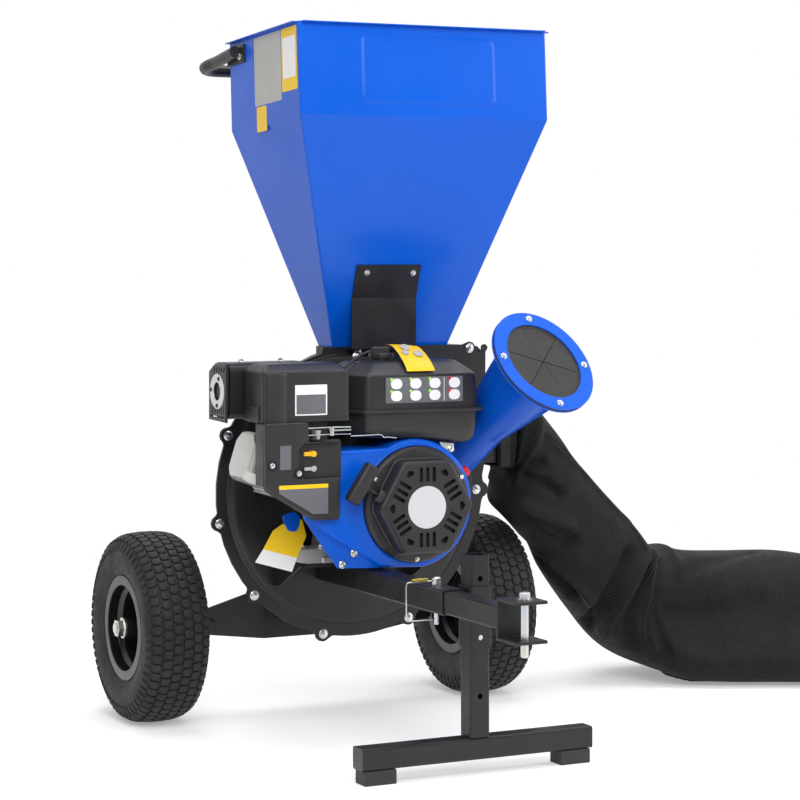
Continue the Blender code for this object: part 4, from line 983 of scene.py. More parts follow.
def tube_generator(finish: Finish) -> Generator:
    """Build a tree that rolls a flat grid into a tube, a cone first and then a straight neck.

    Args:
        finish: the tube's surface.

    Returns:
        The tree, with the inputs Mouth, Neck, Cone and Length.
    """
    tree = Generator("rolled_chute", {"Mouth": 0.0755, "Neck": 0.043, "Cone": 0.179, "Length": 0.34})
    graph = tree.graph
    sheet = graph.node("GeometryNodeMeshGrid", None,
                       {"Size X": 1.0, "Size Y": 1.0, "Vertices X": 97, "Vertices Y": 49})
    flat = graph.node("ShaderNodeSeparateXYZ", None, {0: graph.node("GeometryNodeInputPosition")})
    angle = (flat.part("X") + 0.5) * (2.0 * math.pi)
    along = (flat.part("Y") + 0.5) * tree.size("Length")
    share = graph.node("ShaderNodeMapRange", {"interpolation_type": "LINEAR"},
                       {0: along, 1: 0.0, 2: tree.size("Cone"), 3: tree.size("Mouth"), 4: tree.size("Neck")})
    place = graph.node("ShaderNodeCombineXYZ", None, {
        "X": angle.sine() * share, "Y": (angle + math.pi / 2.0).sine() * share, "Z": along})
    rolled = graph.node("GeometryNodeSetPosition", None, {"Geometry": sheet, "Position": place})
    joined = graph.node("GeometryNodeMergeByDistance", None, {"Geometry": rolled, "Distance": 0.00001})
    return tree.close(joined, finish)


class Assembly:
    """Base of the sub-assemblies, which turn drawings into pieces of the model."""

    body = "frame"

    def add(
        self,
        shape: Shape | bpy.types.Mesh,
        name: str,
        finish: Finish,
        body: str | None = None,
        replaces: Sequence[str] = (),
        bevel: float = 0.0,
        levels: int = 0,
        crease: float = CREASE,
        wall: float = 0.0,
    ) -> bpy.types.Object:
        """Finish a drawing as a piece.

        Args:
            shape: the drawing, or a mesh already in the model's frame.
            name: the piece's name.
            finish: its surface.
            body: the body that it rides on; the assembly's own where none is given.
            replaces: the solids that it stands for.
            bevel: the radius of its edges.
            levels: rounds of subdivision.
            crease: the angle past which an edge stays sharp, in degrees.
            wall: the thickness given to a sheet, grown against its normals.

        Returns:
            The finished object.
        """
        data = shape.mesh_data(name) if isinstance(shape, Shape) else shape
        item = loose_object(data, name)
        if not data.materials:
            data.materials.append(finish.material())
        if wall:
            sheet = item.modifiers.new("wall", "SOLIDIFY")
            sheet.thickness = wall
            sheet.offset = -1.0
        if bevel:
            edge = item.modifiers.new("edges", "BEVEL")
            edge.width = bevel
            edge.segments = 3
            edge.limit_method = "ANGLE"
            edge.angle_limit = math.radians(crease)
        if levels:
            smooth = item.modifiers.new("smooth", "SUBSURF")
            smooth.levels = levels
            smooth.render_levels = levels
        if wall or bevel or levels:
            baked(item)
        item.data.shade_smooth()
        item.data.set_sharp_from_angle(angle=math.radians(crease))
        if isinstance(shape, Shape) and not levels:
            item.modifiers.new("normals", "WEIGHTED_NORMAL").keep_sharp = True
            baked(item)
        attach(item, body or self.body)
        if replaces:
            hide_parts(*replaces)
        LOG.info("%s: %d faces on %s", name, len(item.data.polygons), body or self.body)
        return item

    def bolts(
        self,
        name: str,
        places: Sequence[tuple[Sequence[float], Sequence[float]]],
        across: float,
        height: float,
        flange: float,
        finish: Finish = ZINC,
    ) -> bpy.types.Object:
        """Stand a bolt on each place.

        Args:
            name: the piece's name.
            places: pairs of the seat's centre and the direction of the head.
            across: half the width of the hexagon at its corners.
            height: the head's height.
            flange: the flange's radius.
            finish: their surface.

        Returns:
            One object that holds all of them.
        """
        seed = seed_points(name, [Vector(place) + MACHINE_ORIGIN for place, _ in places],
                           [Vector(direction).normalized() for _, direction in places])
        data = bolt_generator(finish).bake(
            seed, name, {"Across": across, "Height": height, "Flange": flange, "Seed": len(places)})
        return self.add(data, name, finish)

    def film(self, name: str, outline: Outline, face: float, thick: float, finish: Finish) -> None:
        """Lay a thin film on a face that looks forward."""
        self.add(Shape().prism(outline, face + SINK, face - thick, "Y"), name, finish)


@dataclass
class Studio:
    """The plain floor, the soft lamps and the camera."""

    camera_place: Point = (-2.2778, -3.7090, 0.838)
    camera_turn: float = -26.66
    lens: float = 111.2
    lift: float = -0.19775
    floor_half: float = 8.0
    fade_start: float = 0.9
    fade_end: float = 1.7
    floor_glow: float = 0.30

    def build(self) -> None:
        """Make everything that isn't part of the machine."""
        self.camera()
        self.floor()
        self.world()
        self.lamp("key", (-1.6, -3.2, 2.9), 2.4, 105.0)
        self.lamp("fill", (2.8, -2.4, 1.9), 2.0, 40.0)
        self.lamp("top", (0.2, 0.4, 3.6), 3.0, 75.0)
        bpy.context.scene.view_settings.view_transform = "Standard"

    def camera(self) -> None:
        """Stand the camera where the photograph was taken from."""
        data = bpy.data.cameras.new("camera")
        data.lens = self.lens
        data.sensor_width = 36.0
        data.sensor_fit = "HORIZONTAL"
        data.shift_y = self.lift
        data.clip_end = 50.0
        item = bpy.data.objects.new("camera", data)
        item.location = self.camera_place
        item.rotation_euler = (math.pi / 2.0, 0.0, math.radians(self.camera_turn))
        bpy.context.scene.collection.objects.link(item)
        bpy.context.scene.camera = item

    def lamp(self, name: str, place: Point, size: float, power: float) -> None:
        """Hang a square soft lamp that looks at the machine's middle.

        Args:
            name: the lamp's name.
            place: where it hangs.
            size: the length of its sides.
            power: its power in watts.
        """
        data = bpy.data.lights.new(name, "AREA")
        data.size = size
        data.energy = power
        item = bpy.data.objects.new(name, data)
        item.location = place
        aim = Vector((0.0, 0.0, 0.55)) - Vector(place)
        item.rotation_euler = aim.to_track_quat("-Z", "Y").to_euler()
        bpy.context.scene.collection.objects.link(item)

    def seen(self, graph: Graph) -> Signal:
        """Return 1 for rays that show the background: from the camera, mirrored or through glass."""
        path = graph.node("ShaderNodeLightPath")
        return path.top(path.part("Is Glossy Ray")).top(path.part("Is Transmission Ray"))

    def floor(self) -> None:
        """Lay a pale floor that fades to white round the machine and keeps its shadow."""
        material = bpy.data.materials.new("floor")
        material.use_nodes = True
        material.node_tree.nodes.clear()
        graph = Graph(material.node_tree)
        point = graph.node("ShaderNodeTexCoord", output="Object")
        far = graph.node("ShaderNodeVectorMath", {"operation": "LENGTH"}, {0: point}, "Value")
        matt = graph.node("ShaderNodeBsdfDiffuse", None, {"Color": (0.86, 0.86, 0.86, 1.0)})
        glow = graph.node("ShaderNodeEmission", None, {"Color": (1.0, 1.0, 1.0, 1.0),
                                                       "Strength": self.seen(graph) * self.floor_glow})
        near = graph.node("ShaderNodeAddShader", None, {0: matt, 1: glow})
        white = graph.node("ShaderNodeEmission", None, {"Color": (1.0, 1.0, 1.0, 1.0), "Strength": 1.0})
        share = graph.span(far, self.fade_start, self.fade_end) * self.seen(graph)
        both = graph.node("ShaderNodeMixShader", None, {0: share, 1: near, 2: white})
        graph.node("ShaderNodeOutputMaterial", None, {"Surface": both})
        data = bpy.data.meshes.new("floor")
        half = self.floor_half
        corners = [(-half, -half, 0), (half, -half, 0), (half, half, 0), (-half, half, 0)]
        data.from_pydata(corners, [], [(0, 1, 2, 3)])
        data.materials.append(material)
        loose_object(data, "floor")

    def world(self) -> None:
        """Light the scene softly from all sides, white where the background is seen."""
        world = bpy.data.worlds.new("studio")
        bpy.context.scene.world = world
        world.use_nodes = True
        world.node_tree.nodes.clear()
        graph = Graph(world.node_tree)
        path = graph.node("ShaderNodeLightPath")
        heading = graph.node("ShaderNodeTexCoord", output="Generated")
        behind = graph.node("ShaderNodeVectorMath", {"operation": "DOT_PRODUCT"},
                            {0: heading, 1: (0.4487, 0.8937, 0.0)}, "Value")
        mirrored = graph.span(behind, -0.55, 0.15, 0.14, 1.0)
        glossy = path.part("Is Glossy Ray")
        camera = path.top(path.part("Is Transmission Ray"))
        strength = camera + glossy * mirrored + (1.0 - camera) * (1.0 - glossy) * 0.55
        back = graph.node("ShaderNodeBackground", None, {"Color": (1.0, 1.0, 1.0, 1.0), "Strength": strength})
        graph.node("ShaderNodeOutputWorld", None, {"Surface": back})


class CarriedSolids:
    """The solids whose own shape is kept: they get their finishes."""

    def dress(self) -> None:
        """Give every solid the finish of its slot."""
        for name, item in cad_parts.items():
            slot = item.material_slots[0].material.name if item.material_slots else ""
            finish = next((f for s, f in SLOT_FINISH.items() if slot.startswith(s.value)), BLACK_COAT)
            for holder in item.material_slots:
                holder.material = finish.material()
            LOG.info("%s keeps its shape, in %s", name, finish.name)


@dataclass(frozen=True)
class TreadRow:
    """One row of tread blocks on the right half of a tyre.

    A block stands high metres over a foot at radius, leans out by lean degrees and is 2 half wide
    across the tread. Its two ends lie long metres from its middle. Rows of unlike stagger
    alternate round the tyre.
    """

    across: float
    radius: float
    lean: float
    half: float
    long: float
    high: float
    stagger: int


@dataclass
class TurfWheel(Assembly):
    """A turf tyre with moulded tread blocks on a dished steel rim."""

    side: int
    label: str
    track: float = 0.321
    axle_z: float = 0.165
    hub_radius: float = 0.017
    axle_radius: float = 0.0098
    blocks: int = 60
    rows: tuple[TreadRow, ...] = (
        TreadRow(0.0090, 0.1613, 2.0, 0.0076, 0.0070, 0.0036, 1),
        TreadRow(0.0262, 0.1598, 8.0, 0.0076, 0.0070, 0.0038, -1),
        TreadRow(0.0425, 0.1545, 30.0, 0.0074, 0.0068, 0.0040, 1),
        TreadRow(0.0537, 0.1420, 66.0, 0.0085, 0.0048, 0.0022, -1))

    def __post_init__(self) -> None:
        """Ride on the wheel's own body."""
        self.body = f"wheel_{self.label}"
        self.centre = Vector((self.side * self.track, 0.0, self.axle_z))

    def build(self) -> None:
        """Make the tyre, its tread, the rim and the valve."""
        self.carcass()
        self.tread()
        self.rim()

    def carcass(self) -> None:
        """Turn the tyre's body: bead, bulging sidewall, shoulder and crown."""
        outer = [(0.0464, 0.0774), (0.0464, 0.0860), (0.0470, 0.0905), (0.0488, 0.0935), (0.0500, 0.0940),
                 (0.0512, 0.0975), (0.0545, 0.1060), (0.0566, 0.1150), (0.0573, 0.1240), (0.0566, 0.1330),
                 (0.0545, 0.1415), (0.0505, 0.1490), (0.0445, 0.1543), (0.0360, 0.1580), (0.0240, 0.1605),
                 (0.0120, 0.1615)]
        inner = [(0.0380, 0.1500), (0.0490, 0.1380), (0.0500, 0.1150), (0.0420, 0.0900), (0.0360, 0.0774)]
        profile = outer + [(0.0, 0.1617)] + [(-x, r) for x, r in reversed(outer)]
        profile += [(-x, r) for x, r in reversed(inner)] + inner
        shape = Shape().lathe(profile, self.centre, (self.side, 0, 0), 120)
        self.add(shape, f"tyre_body_{self.label}", TYRE, replaces=[f"tyre_{self.label}"], crease=50)

    def tread_block(self, row: TreadRow, sign: int) -> bpy.types.Mesh:
        """Draw one tread block at the top of the wheel.

        Args:
            row: the row that it belongs to.
            sign: 1 on the right half of the tyre and -1 on the left.

        Returns:
            The block in a frame whose origin is the wheel's centre.
        """
        half, long, high = row.half, row.long, row.high
        corners = [(-half, long), (half, long), (half, -long * 0.45), (half * 0.5, -long),
                   (-half * 0.5, -long), (-half, -long * 0.45)]
        outline = soften_corners(corners, 0.0028, 2)
        levels = ((1.10, -0.0022), (1.0, high - 0.0009), (0.97, high - 0.0003), (0.88, high))
        shape = Shape().loft([[(x * grow, y * grow, z) for x, y in outline] for grow, z in levels])
        tilt = Matrix.Rotation(math.radians(sign * row.lean), 4, "Y")
        shape.turned(Matrix.Translation((sign * row.across, 0, row.radius)) @ tilt)
        return shape.mesh_data("block", Vector())

    def tread(self) -> None:
        """Repeat the tread blocks round the tyre in staggered rows."""
        shape = Shape()
        rings = ring_generator(f"tread_{self.label}", TYRE, (1.0, 0.0, 0.0))
        for sign in (-1, 1):
            for row in self.rows:
                seed = self.tread_block(row, sign)
                phase = 0.25 + 0.25 * sign * row.stagger
                ring = rings.bake(seed, "row", {"Count": self.blocks, "Phase": phase})
                shape.mesh.from_mesh(ring)
                bpy.data.meshes.remove(ring)
        shape.turned(Matrix.Translation(self.centre))
        data = shape.mesh_data(f"tread_{self.label}")
        self.add(data, f"tread_{self.label}", TYRE, crease=40)

    def rim(self) -> None:
        """Turn the dished rim with its rolled lips, its hub tube and the valve beside it."""
        lip, sheet, bead, well, hub = 0.0497, 0.003, 0.077, 0.070, 0.047
        profile = [(lip, 0.091), (lip - sheet, 0.091), (lip - sheet, bead), (0.030, bead), (0.024, well),
                   (-0.024, well), (-0.030, bead), (-lip + sheet, bead), (-lip + sheet, 0.091), (-lip, 0.091),
                   (-lip, bead - sheet), (-0.0315, bead - sheet), (-0.0255, well - sheet),
                   (-0.006, well - sheet), (-0.012, 0.055), (-0.016, 0.034), (-0.016, self.hub_radius),
                   (-hub, self.hub_radius), (-hub, self.axle_radius), (hub, self.axle_radius),
                   (hub, self.hub_radius), (-0.012, self.hub_radius), (-0.012, 0.033), (-0.008, 0.055),
                   (-0.002, well - sheet), (0.0255, well - sheet), (0.0315, bead - sheet),
                   (lip, bead - sheet)]
        shape = Shape().lathe(profile, self.centre, (self.side, 0, 0), 96)
        self.add(shape, f"rim_shell_{self.label}", RIM_COAT, replaces=[f"rim_{self.label}"], bevel=0.0013)
        out = Vector((self.side, 0, 0))
        foot = self.centre + Vector((-self.side * 0.004, -0.034, -0.038))
        stem = [(0, 0), (0, 0.006), (0.004, 0.0055), (0.010, 0.004), (0.020, 0.0036), (0.021, 0.0045),
                (0.030, 0.0045), (0.031, 0.0035), (0.031, 0)]
        self.add(Shape().lathe(stem, foot, out, 20, False), f"valve_{self.label}", RUBBER)


@dataclass
class FeedHopper(Assembly):
    """The folded sheet hopper with its upright band, turned-out rim and pressed panel."""

    centre_x: float = 0.0808
    bottom: float = 0.6548
    height: float = 0.547
    band: float = 0.1576
    top_half: float = 0.2398
    throat_half: float = 0.1142
    throat_front: float = -0.1465
    throat_back: float = -0.0845
    top_front: float = -0.307
    top_back: float = -0.0063
    lean: float = math.radians(3.4)
    sheet: float = 0.002
    lip: float = 0.010
    foot: float = 0.6538
    foot_front: float = -0.1415

    def leaned(self, x: float, y: float, z: float) -> Vector:
        """Lean a point of the upright hopper back about its bottom front edge."""
        pivot = Vector((0, self.throat_front, self.bottom))
        return Matrix.Rotation(-self.lean, 3, "X") @ (Vector((x, y, z)) - pivot) + pivot

    def section(
        self,
        half: float,
        front: float,
        back: float,
        z: float,
        wall: float,
        bend: float,
    ) -> list[Vector]:
        """Draw the hopper's outline at one height.

        Args:
            half: half its width.
            front: the place of its front side.
            back: the place of its back.
            z: the height.
            wall: how far inside these sides the outline lies.
            bend: the radius of its corners.

        Returns:
            The outline's points, leaned with the hopper.
        """
        left, right = self.centre_x - half + wall, self.centre_x + half - wall
        return [self.leaned(x, y, z) for x, y in rounded(left, right, front + wall, back - wall, bend, 3)]

    def build(self) -> None:
        """Make the hopper's sheets, its rim, the pressed panel and the blank stickers."""
        self.shell()
        self.rim()
        self.panel()
        self.stickers()

    def shell(self) -> None:
        """Skin the funnel and the band, outside and in."""
        top = self.bottom + self.height
        levels = [(self.throat_half, self.foot_front, self.throat_back, self.foot),
                  (self.top_half, self.top_front, self.top_back, top - self.band),
                  (self.top_half, self.top_front, self.top_back, top)]
        sections = [self.section(*level, 0.0, 0.004) for level in levels]
        sections += [self.section(*level, self.sheet, 0.002) for level in reversed(levels)]
        self.add(Shape().loft(sections, looped=True), "hopper_shell", BLUE, replaces=["hopper"], crease=20)

    def rim(self) -> None:
        """Turn the four top edges out, each short of the corners."""
        top = self.bottom + self.height
        gap = 0.005
        half = self.top_half
        left = self.centre_x - half
        right = self.centre_x + half
        shape = Shape()
        for x0, x1, y0, y1 in ((left + gap, right - gap, self.top_front - self.lip, self.top_front + SINK),
                               (left + gap, right - gap, self.top_back - SINK, self.top_back + self.lip),
                               (left - self.lip, left + SINK, self.top_front + gap, self.top_back - gap),
                               (right - SINK, right + self.lip, self.top_front + gap, self.top_back - gap)):
            corners = [(x0, y0), (x1, y0), (x1, y1), (x0, y1)]
            shape.loft([[self.leaned(x, y, z) for x, y in corners] for z in (top - self.sheet, top)])
        self.add(shape, "hopper_rim", BLUE, bevel=0.0006)

    def panel(self) -> None:
        """Press the rounded panel into the front of the band."""
        top = self.bottom + self.height
        low, high = top - 0.139, top - 0.0165
        left, right = -0.0435, 0.2185
        sections = []
        for k in range(8):
            share = k / 7.0
            inset = 0.0085 * share
            rise = 0.0019 * smooth_step(share)
            outline = rounded(left + inset, right - inset, low + inset, high - inset, 0.016 - inset * 0.6, 8)
            sections.append([self.leaned(x, self.top_front - rise + SINK * (k == 0), z) for x, z in outline])
        self.add(Shape().loft(sections), "hopper_panel", BLUE, crease=60)

    def sticker(self, shape: Shape, sides: Sequence[float], rise: float = 0.0004) -> None:
        """Stick a thin blank film on the left face of the band.

        Args:
            shape: the drawing that it is added to.
            sides: its front, back, lower and upper side.
            rise: its thickness.
        """
        face = self.centre_x - self.top_half
        outline = rounded(*sides, 0.003, 4)
        shape.loft([[self.leaned(x, y, z) for y, z in outline] for x in (face + SINK, face - rise)])

    def stickers(self) -> None:
        """Stick the blank films where the machine carries its notices."""
        pale, yellow, white = Shape(), Shape(), Shape()
        self.sticker(pale, (-0.232, -0.118, 1.076, 1.196))
        self.sticker(yellow, (-0.298, -0.235, 1.088, 1.196))
        self.sticker(yellow, (-0.166, -0.124, 1.030, 1.074))
        self.sticker(white, (-0.292, -0.241, 1.110, 1.180), 0.0006)
        self.add(pale, "sticker_pale", PALE_FILM)
        self.add(yellow, "sticker_yellow", YELLOW_FILM)
        self.add(white, "sticker_white", WHITE_FILM)


@dataclass
class ChippingChute(Assembly):
    """The cone of the chipping chute, its bolted mouth ring and the slit rubber guard."""

    mouth: Point = (0.2219, -0.4335, 0.6327)
    direction: Point = (0.183, -0.779, 0.599)
    mouth_radius: float = 0.0755
    neck_radius: float = 0.043
    cone: float = 0.179
    length: float = 0.345
    end_y: float = -0.1565
    wall: float = 0.0025
    ring_radius: float = 0.0995
    guard: float = 0.004
    ring: float = 0.003

    def build(self) -> None:
        """Make the tube, the collar, the guard with its slits, the ring and its bolts."""
        self.out = Vector(self.direction).normalized()
        self.centre = Vector(self.mouth)
        self.tube()
        self.collar()
        self.guard_disc()
        self.mouth_ring()

    def tube(self) -> None:
        """Roll the cone and its neck, and trim the neck where it enters the housing."""
        seed = bpy.data.meshes.new("seed")
        data = tube_generator(BLUE).bake(seed, "chute", {"Mouth": self.mouth_radius, "Neck": self.neck_radius,
                                                         "Cone": self.cone, "Length": self.length})
        turn = Vector((0, 0, 1)).rotation_difference(-self.out).to_matrix().to_4x4()
        shape = Shape()
        shape.mesh.from_mesh(data)
        shape.turned(Matrix.Translation(self.centre) @ turn)
        whole = shape.mesh.verts[:] + shape.mesh.edges[:] + shape.mesh.faces[:]
        bmesh.ops.bisect_plane(shape.mesh, geom=whole, plane_co=(0, self.end_y, 0), plane_no=(0, 1, 0),
                               clear_outer=True)
        self.add(shape, "chute_shell", BLUE, replaces=["chute_tube"], wall=self.wall, crease=40)

    def collar(self) -> None:
        """Turn the collar welded to the cone's mouth."""
        profile = [(0.0003, self.mouth_radius - 0.002), (0.0003, self.ring_radius),
                   (0.0028, self.ring_radius), (0.0028, self.mouth_radius - 0.0005),
                   (0.0060, self.mouth_radius - 0.0015), (0.0060, self.mouth_radius - 0.0025)]
        self.add(Shape().lathe(profile, self.centre, -self.out, 128), "chute_collar", BLUE, bevel=0.0005)

    def guard_disc(self) -> None:
        """Cut the rubber guard into six leaves that meet in the middle."""
        side, up = axis_frame(self.out)
        rim = self.mouth_radius - 0.006
        core = 0.0012
        width = math.radians(60)
        slit = math.radians(0.35)
        shape = Shape()
        for k in range(6):
            start = math.radians(20 + 60 * k)
            middle = start + math.radians(30)
            leaf = [start + slit + (width - 2 * slit) * i / 12 for i in range(13)]
            outline = [(core * math.cos(middle), core * math.sin(middle))]
            outline += [(rim * math.cos(a), rim * math.sin(a)) for a in leaf]
            droop = 0.0004 * (k % 2)
            shape.loft([[self.centre + side * a + up * b + self.out * (w - droop) for a, b in outline]
                        for w in (0.0002, self.guard - 0.0002)])
        profile = [(0.0, rim), (0.0, self.ring_radius - 0.0012), (self.guard, self.ring_radius - 0.0012),
                   (self.guard, rim)]
        shape.lathe(profile, self.centre, self.out, 128)
        self.add(shape, "guard_leaves", RUBBER, replaces=["splash_guard"], crease=25)

    def mouth_ring(self) -> None:
        """Turn the clamping ring and stand its four bolts on it."""
        start = self.guard + 0.0003
        inner = self.mouth_radius - 0.001
        profile = [(start, inner), (start, self.ring_radius), (start + self.ring, self.ring_radius),
                   (start + self.ring, inner)]
        self.add(Shape().lathe(profile, self.centre, self.out, 128), "mouth_ring", BLUE,
                 replaces=["chute_ring"], bevel=0.0007)
        side, up = axis_frame(self.out)
        radius = (inner + self.ring_radius) / 2
        middle = self.centre + self.out * (start + self.ring)
        places = []
        for angle in (98.0, 188.0, 278.0, 8.0):
            turn = math.radians(angle)
            places.append(middle + (side * math.cos(turn) + up * math.sin(turn)) * radius)
        self.bolts("ring_bolts", seats(self.out, *places), 0.0048, 0.0036, 0.0062)


@dataclass
class ShredderHousing(Assembly):
    """The dished front plate of the shredder with its bolt ears, and the screws round it."""

    centre_x: float = 0.003
    centre_z: float = 0.405
    radius: float = 0.2585
    front: float = -0.150
    sheet: float = 0.003
    opening: float = 0.2405
    cut_back: float = 0.0135
    ear_half: float = 0.014
    ears: tuple[tuple[float, float, float], ...] = (
        (157.0, 0.258, 0.2715), (191.0, 0.258, 0.2715), (223.0, 0.258, 0.2715), (257.0, 0.258, 0.2715),
        (295.0, 0.258, 0.2715), (357.0, 0.2457, 0.2650))

    def build(self) -> None:
        """Make the plate, its pressed dish and the screws."""
        self.plate()
        self.dish()
        self.screws()

    def edge(self, angle: float) -> float:
        """Work out the plate's radius, with the ears' bumps.

        Args:
            angle: the place on its edge, in degrees.

        Returns:
            The radius there.
        """
        radius = self.radius - self.cut_back * smooth_step((150.0 - angle) / 25.0)
        for middle, _, tip in self.ears:
            away = abs(self.radius * math.sin(math.radians(angle - middle)))
            if abs(angle - middle) < 12.0:
                share = 1.0 - smooth_step((away / self.ear_half - 0.15) / 1.35)
                radius += (tip - self.radius) * share
        return radius

    def plate(self) -> None:
        """Cut the flat plate, whose top right corner has a lug and a hump."""
        outline = [(-0.053, 0.6535), (-0.0555, 0.6520), (-0.0575, 0.6420)]
        for step in range(258):
            angle = 106.0 + step
            turn = math.radians(angle)
            outline.append((self.centre_x + self.edge(angle) * math.cos(turn),
                            self.centre_z + self.edge(angle) * math.sin(turn)))
        outline += [(0.2660, 0.4400), (0.2680, 0.6400)]
        outline += arc(0.2655, 0.6470, 0.0065, -40, 200, 12)[1:]
        outline += [(0.2575, 0.6415), (0.2515, 0.6400), (0.2465, 0.6440)]
        outline += arc(0.2350, 0.6470, 0.0115, 10, 120, 8) + [(0.2200, 0.6535)]
        hole = circle(self.centre_x, self.centre_z, self.opening, 120)
        shape = Shape().prism(outline, self.front, self.front + self.sheet, "Y", (hole,))
        self.add(shape, "front_plate", BLACK_COAT, replaces=["housing_front"], bevel=0.0008, crease=50)

    def dish(self) -> None:
        """Turn the pressed dish with its rolled shoulder and raised middle."""
        profile = [(-0.003, self.opening), (0.0, self.opening), (0.0012, 0.2378), (0.0035, 0.2362),
                   (0.0060, 0.2345), (0.0075, 0.2310), (0.0085, 0.2250), (0.0112, 0.1880),
                   (0.0140, 0.1500), (0.0140, 0.0850), (0.0260, 0.0780), (0.0260, 0.0200),
                   (0.0230, 0.0200), (0.0230, 0.0760), (0.0110, 0.0830), (0.0110, 0.1500),
                   (0.0045, 0.2340)]
        centre = (self.centre_x, self.front, self.centre_z)
        self.add(Shape().lathe(profile, centre, FORWARD, 160), "front_dish", BLACK_COAT, crease=40)

    def screws(self) -> None:
        """Stand the screws on the ears, under the hopper and on its bracket."""
        places = []
        for angle, circle_radius, _ in self.ears:
            turn = math.radians(angle)
            places.append((self.centre_x + circle_radius * math.cos(turn), self.front,
                           self.centre_z + circle_radius * math.sin(turn)))
        places += [(0.0109, self.front, 0.6458), (0.2351, self.front, 0.6469)]
        self.bolts("housing_bolts", seats(FORWARD, *places), 0.0062, 0.0055, 0.0085)
        leaned = seats((0, -0.92, -0.39), (0.0094, -0.1889, 0.7852), (0.0995, -0.1887, 0.7847))
        self.bolts("bracket_bolts", leaned, 0.0058, 0.0050, 0.0080)


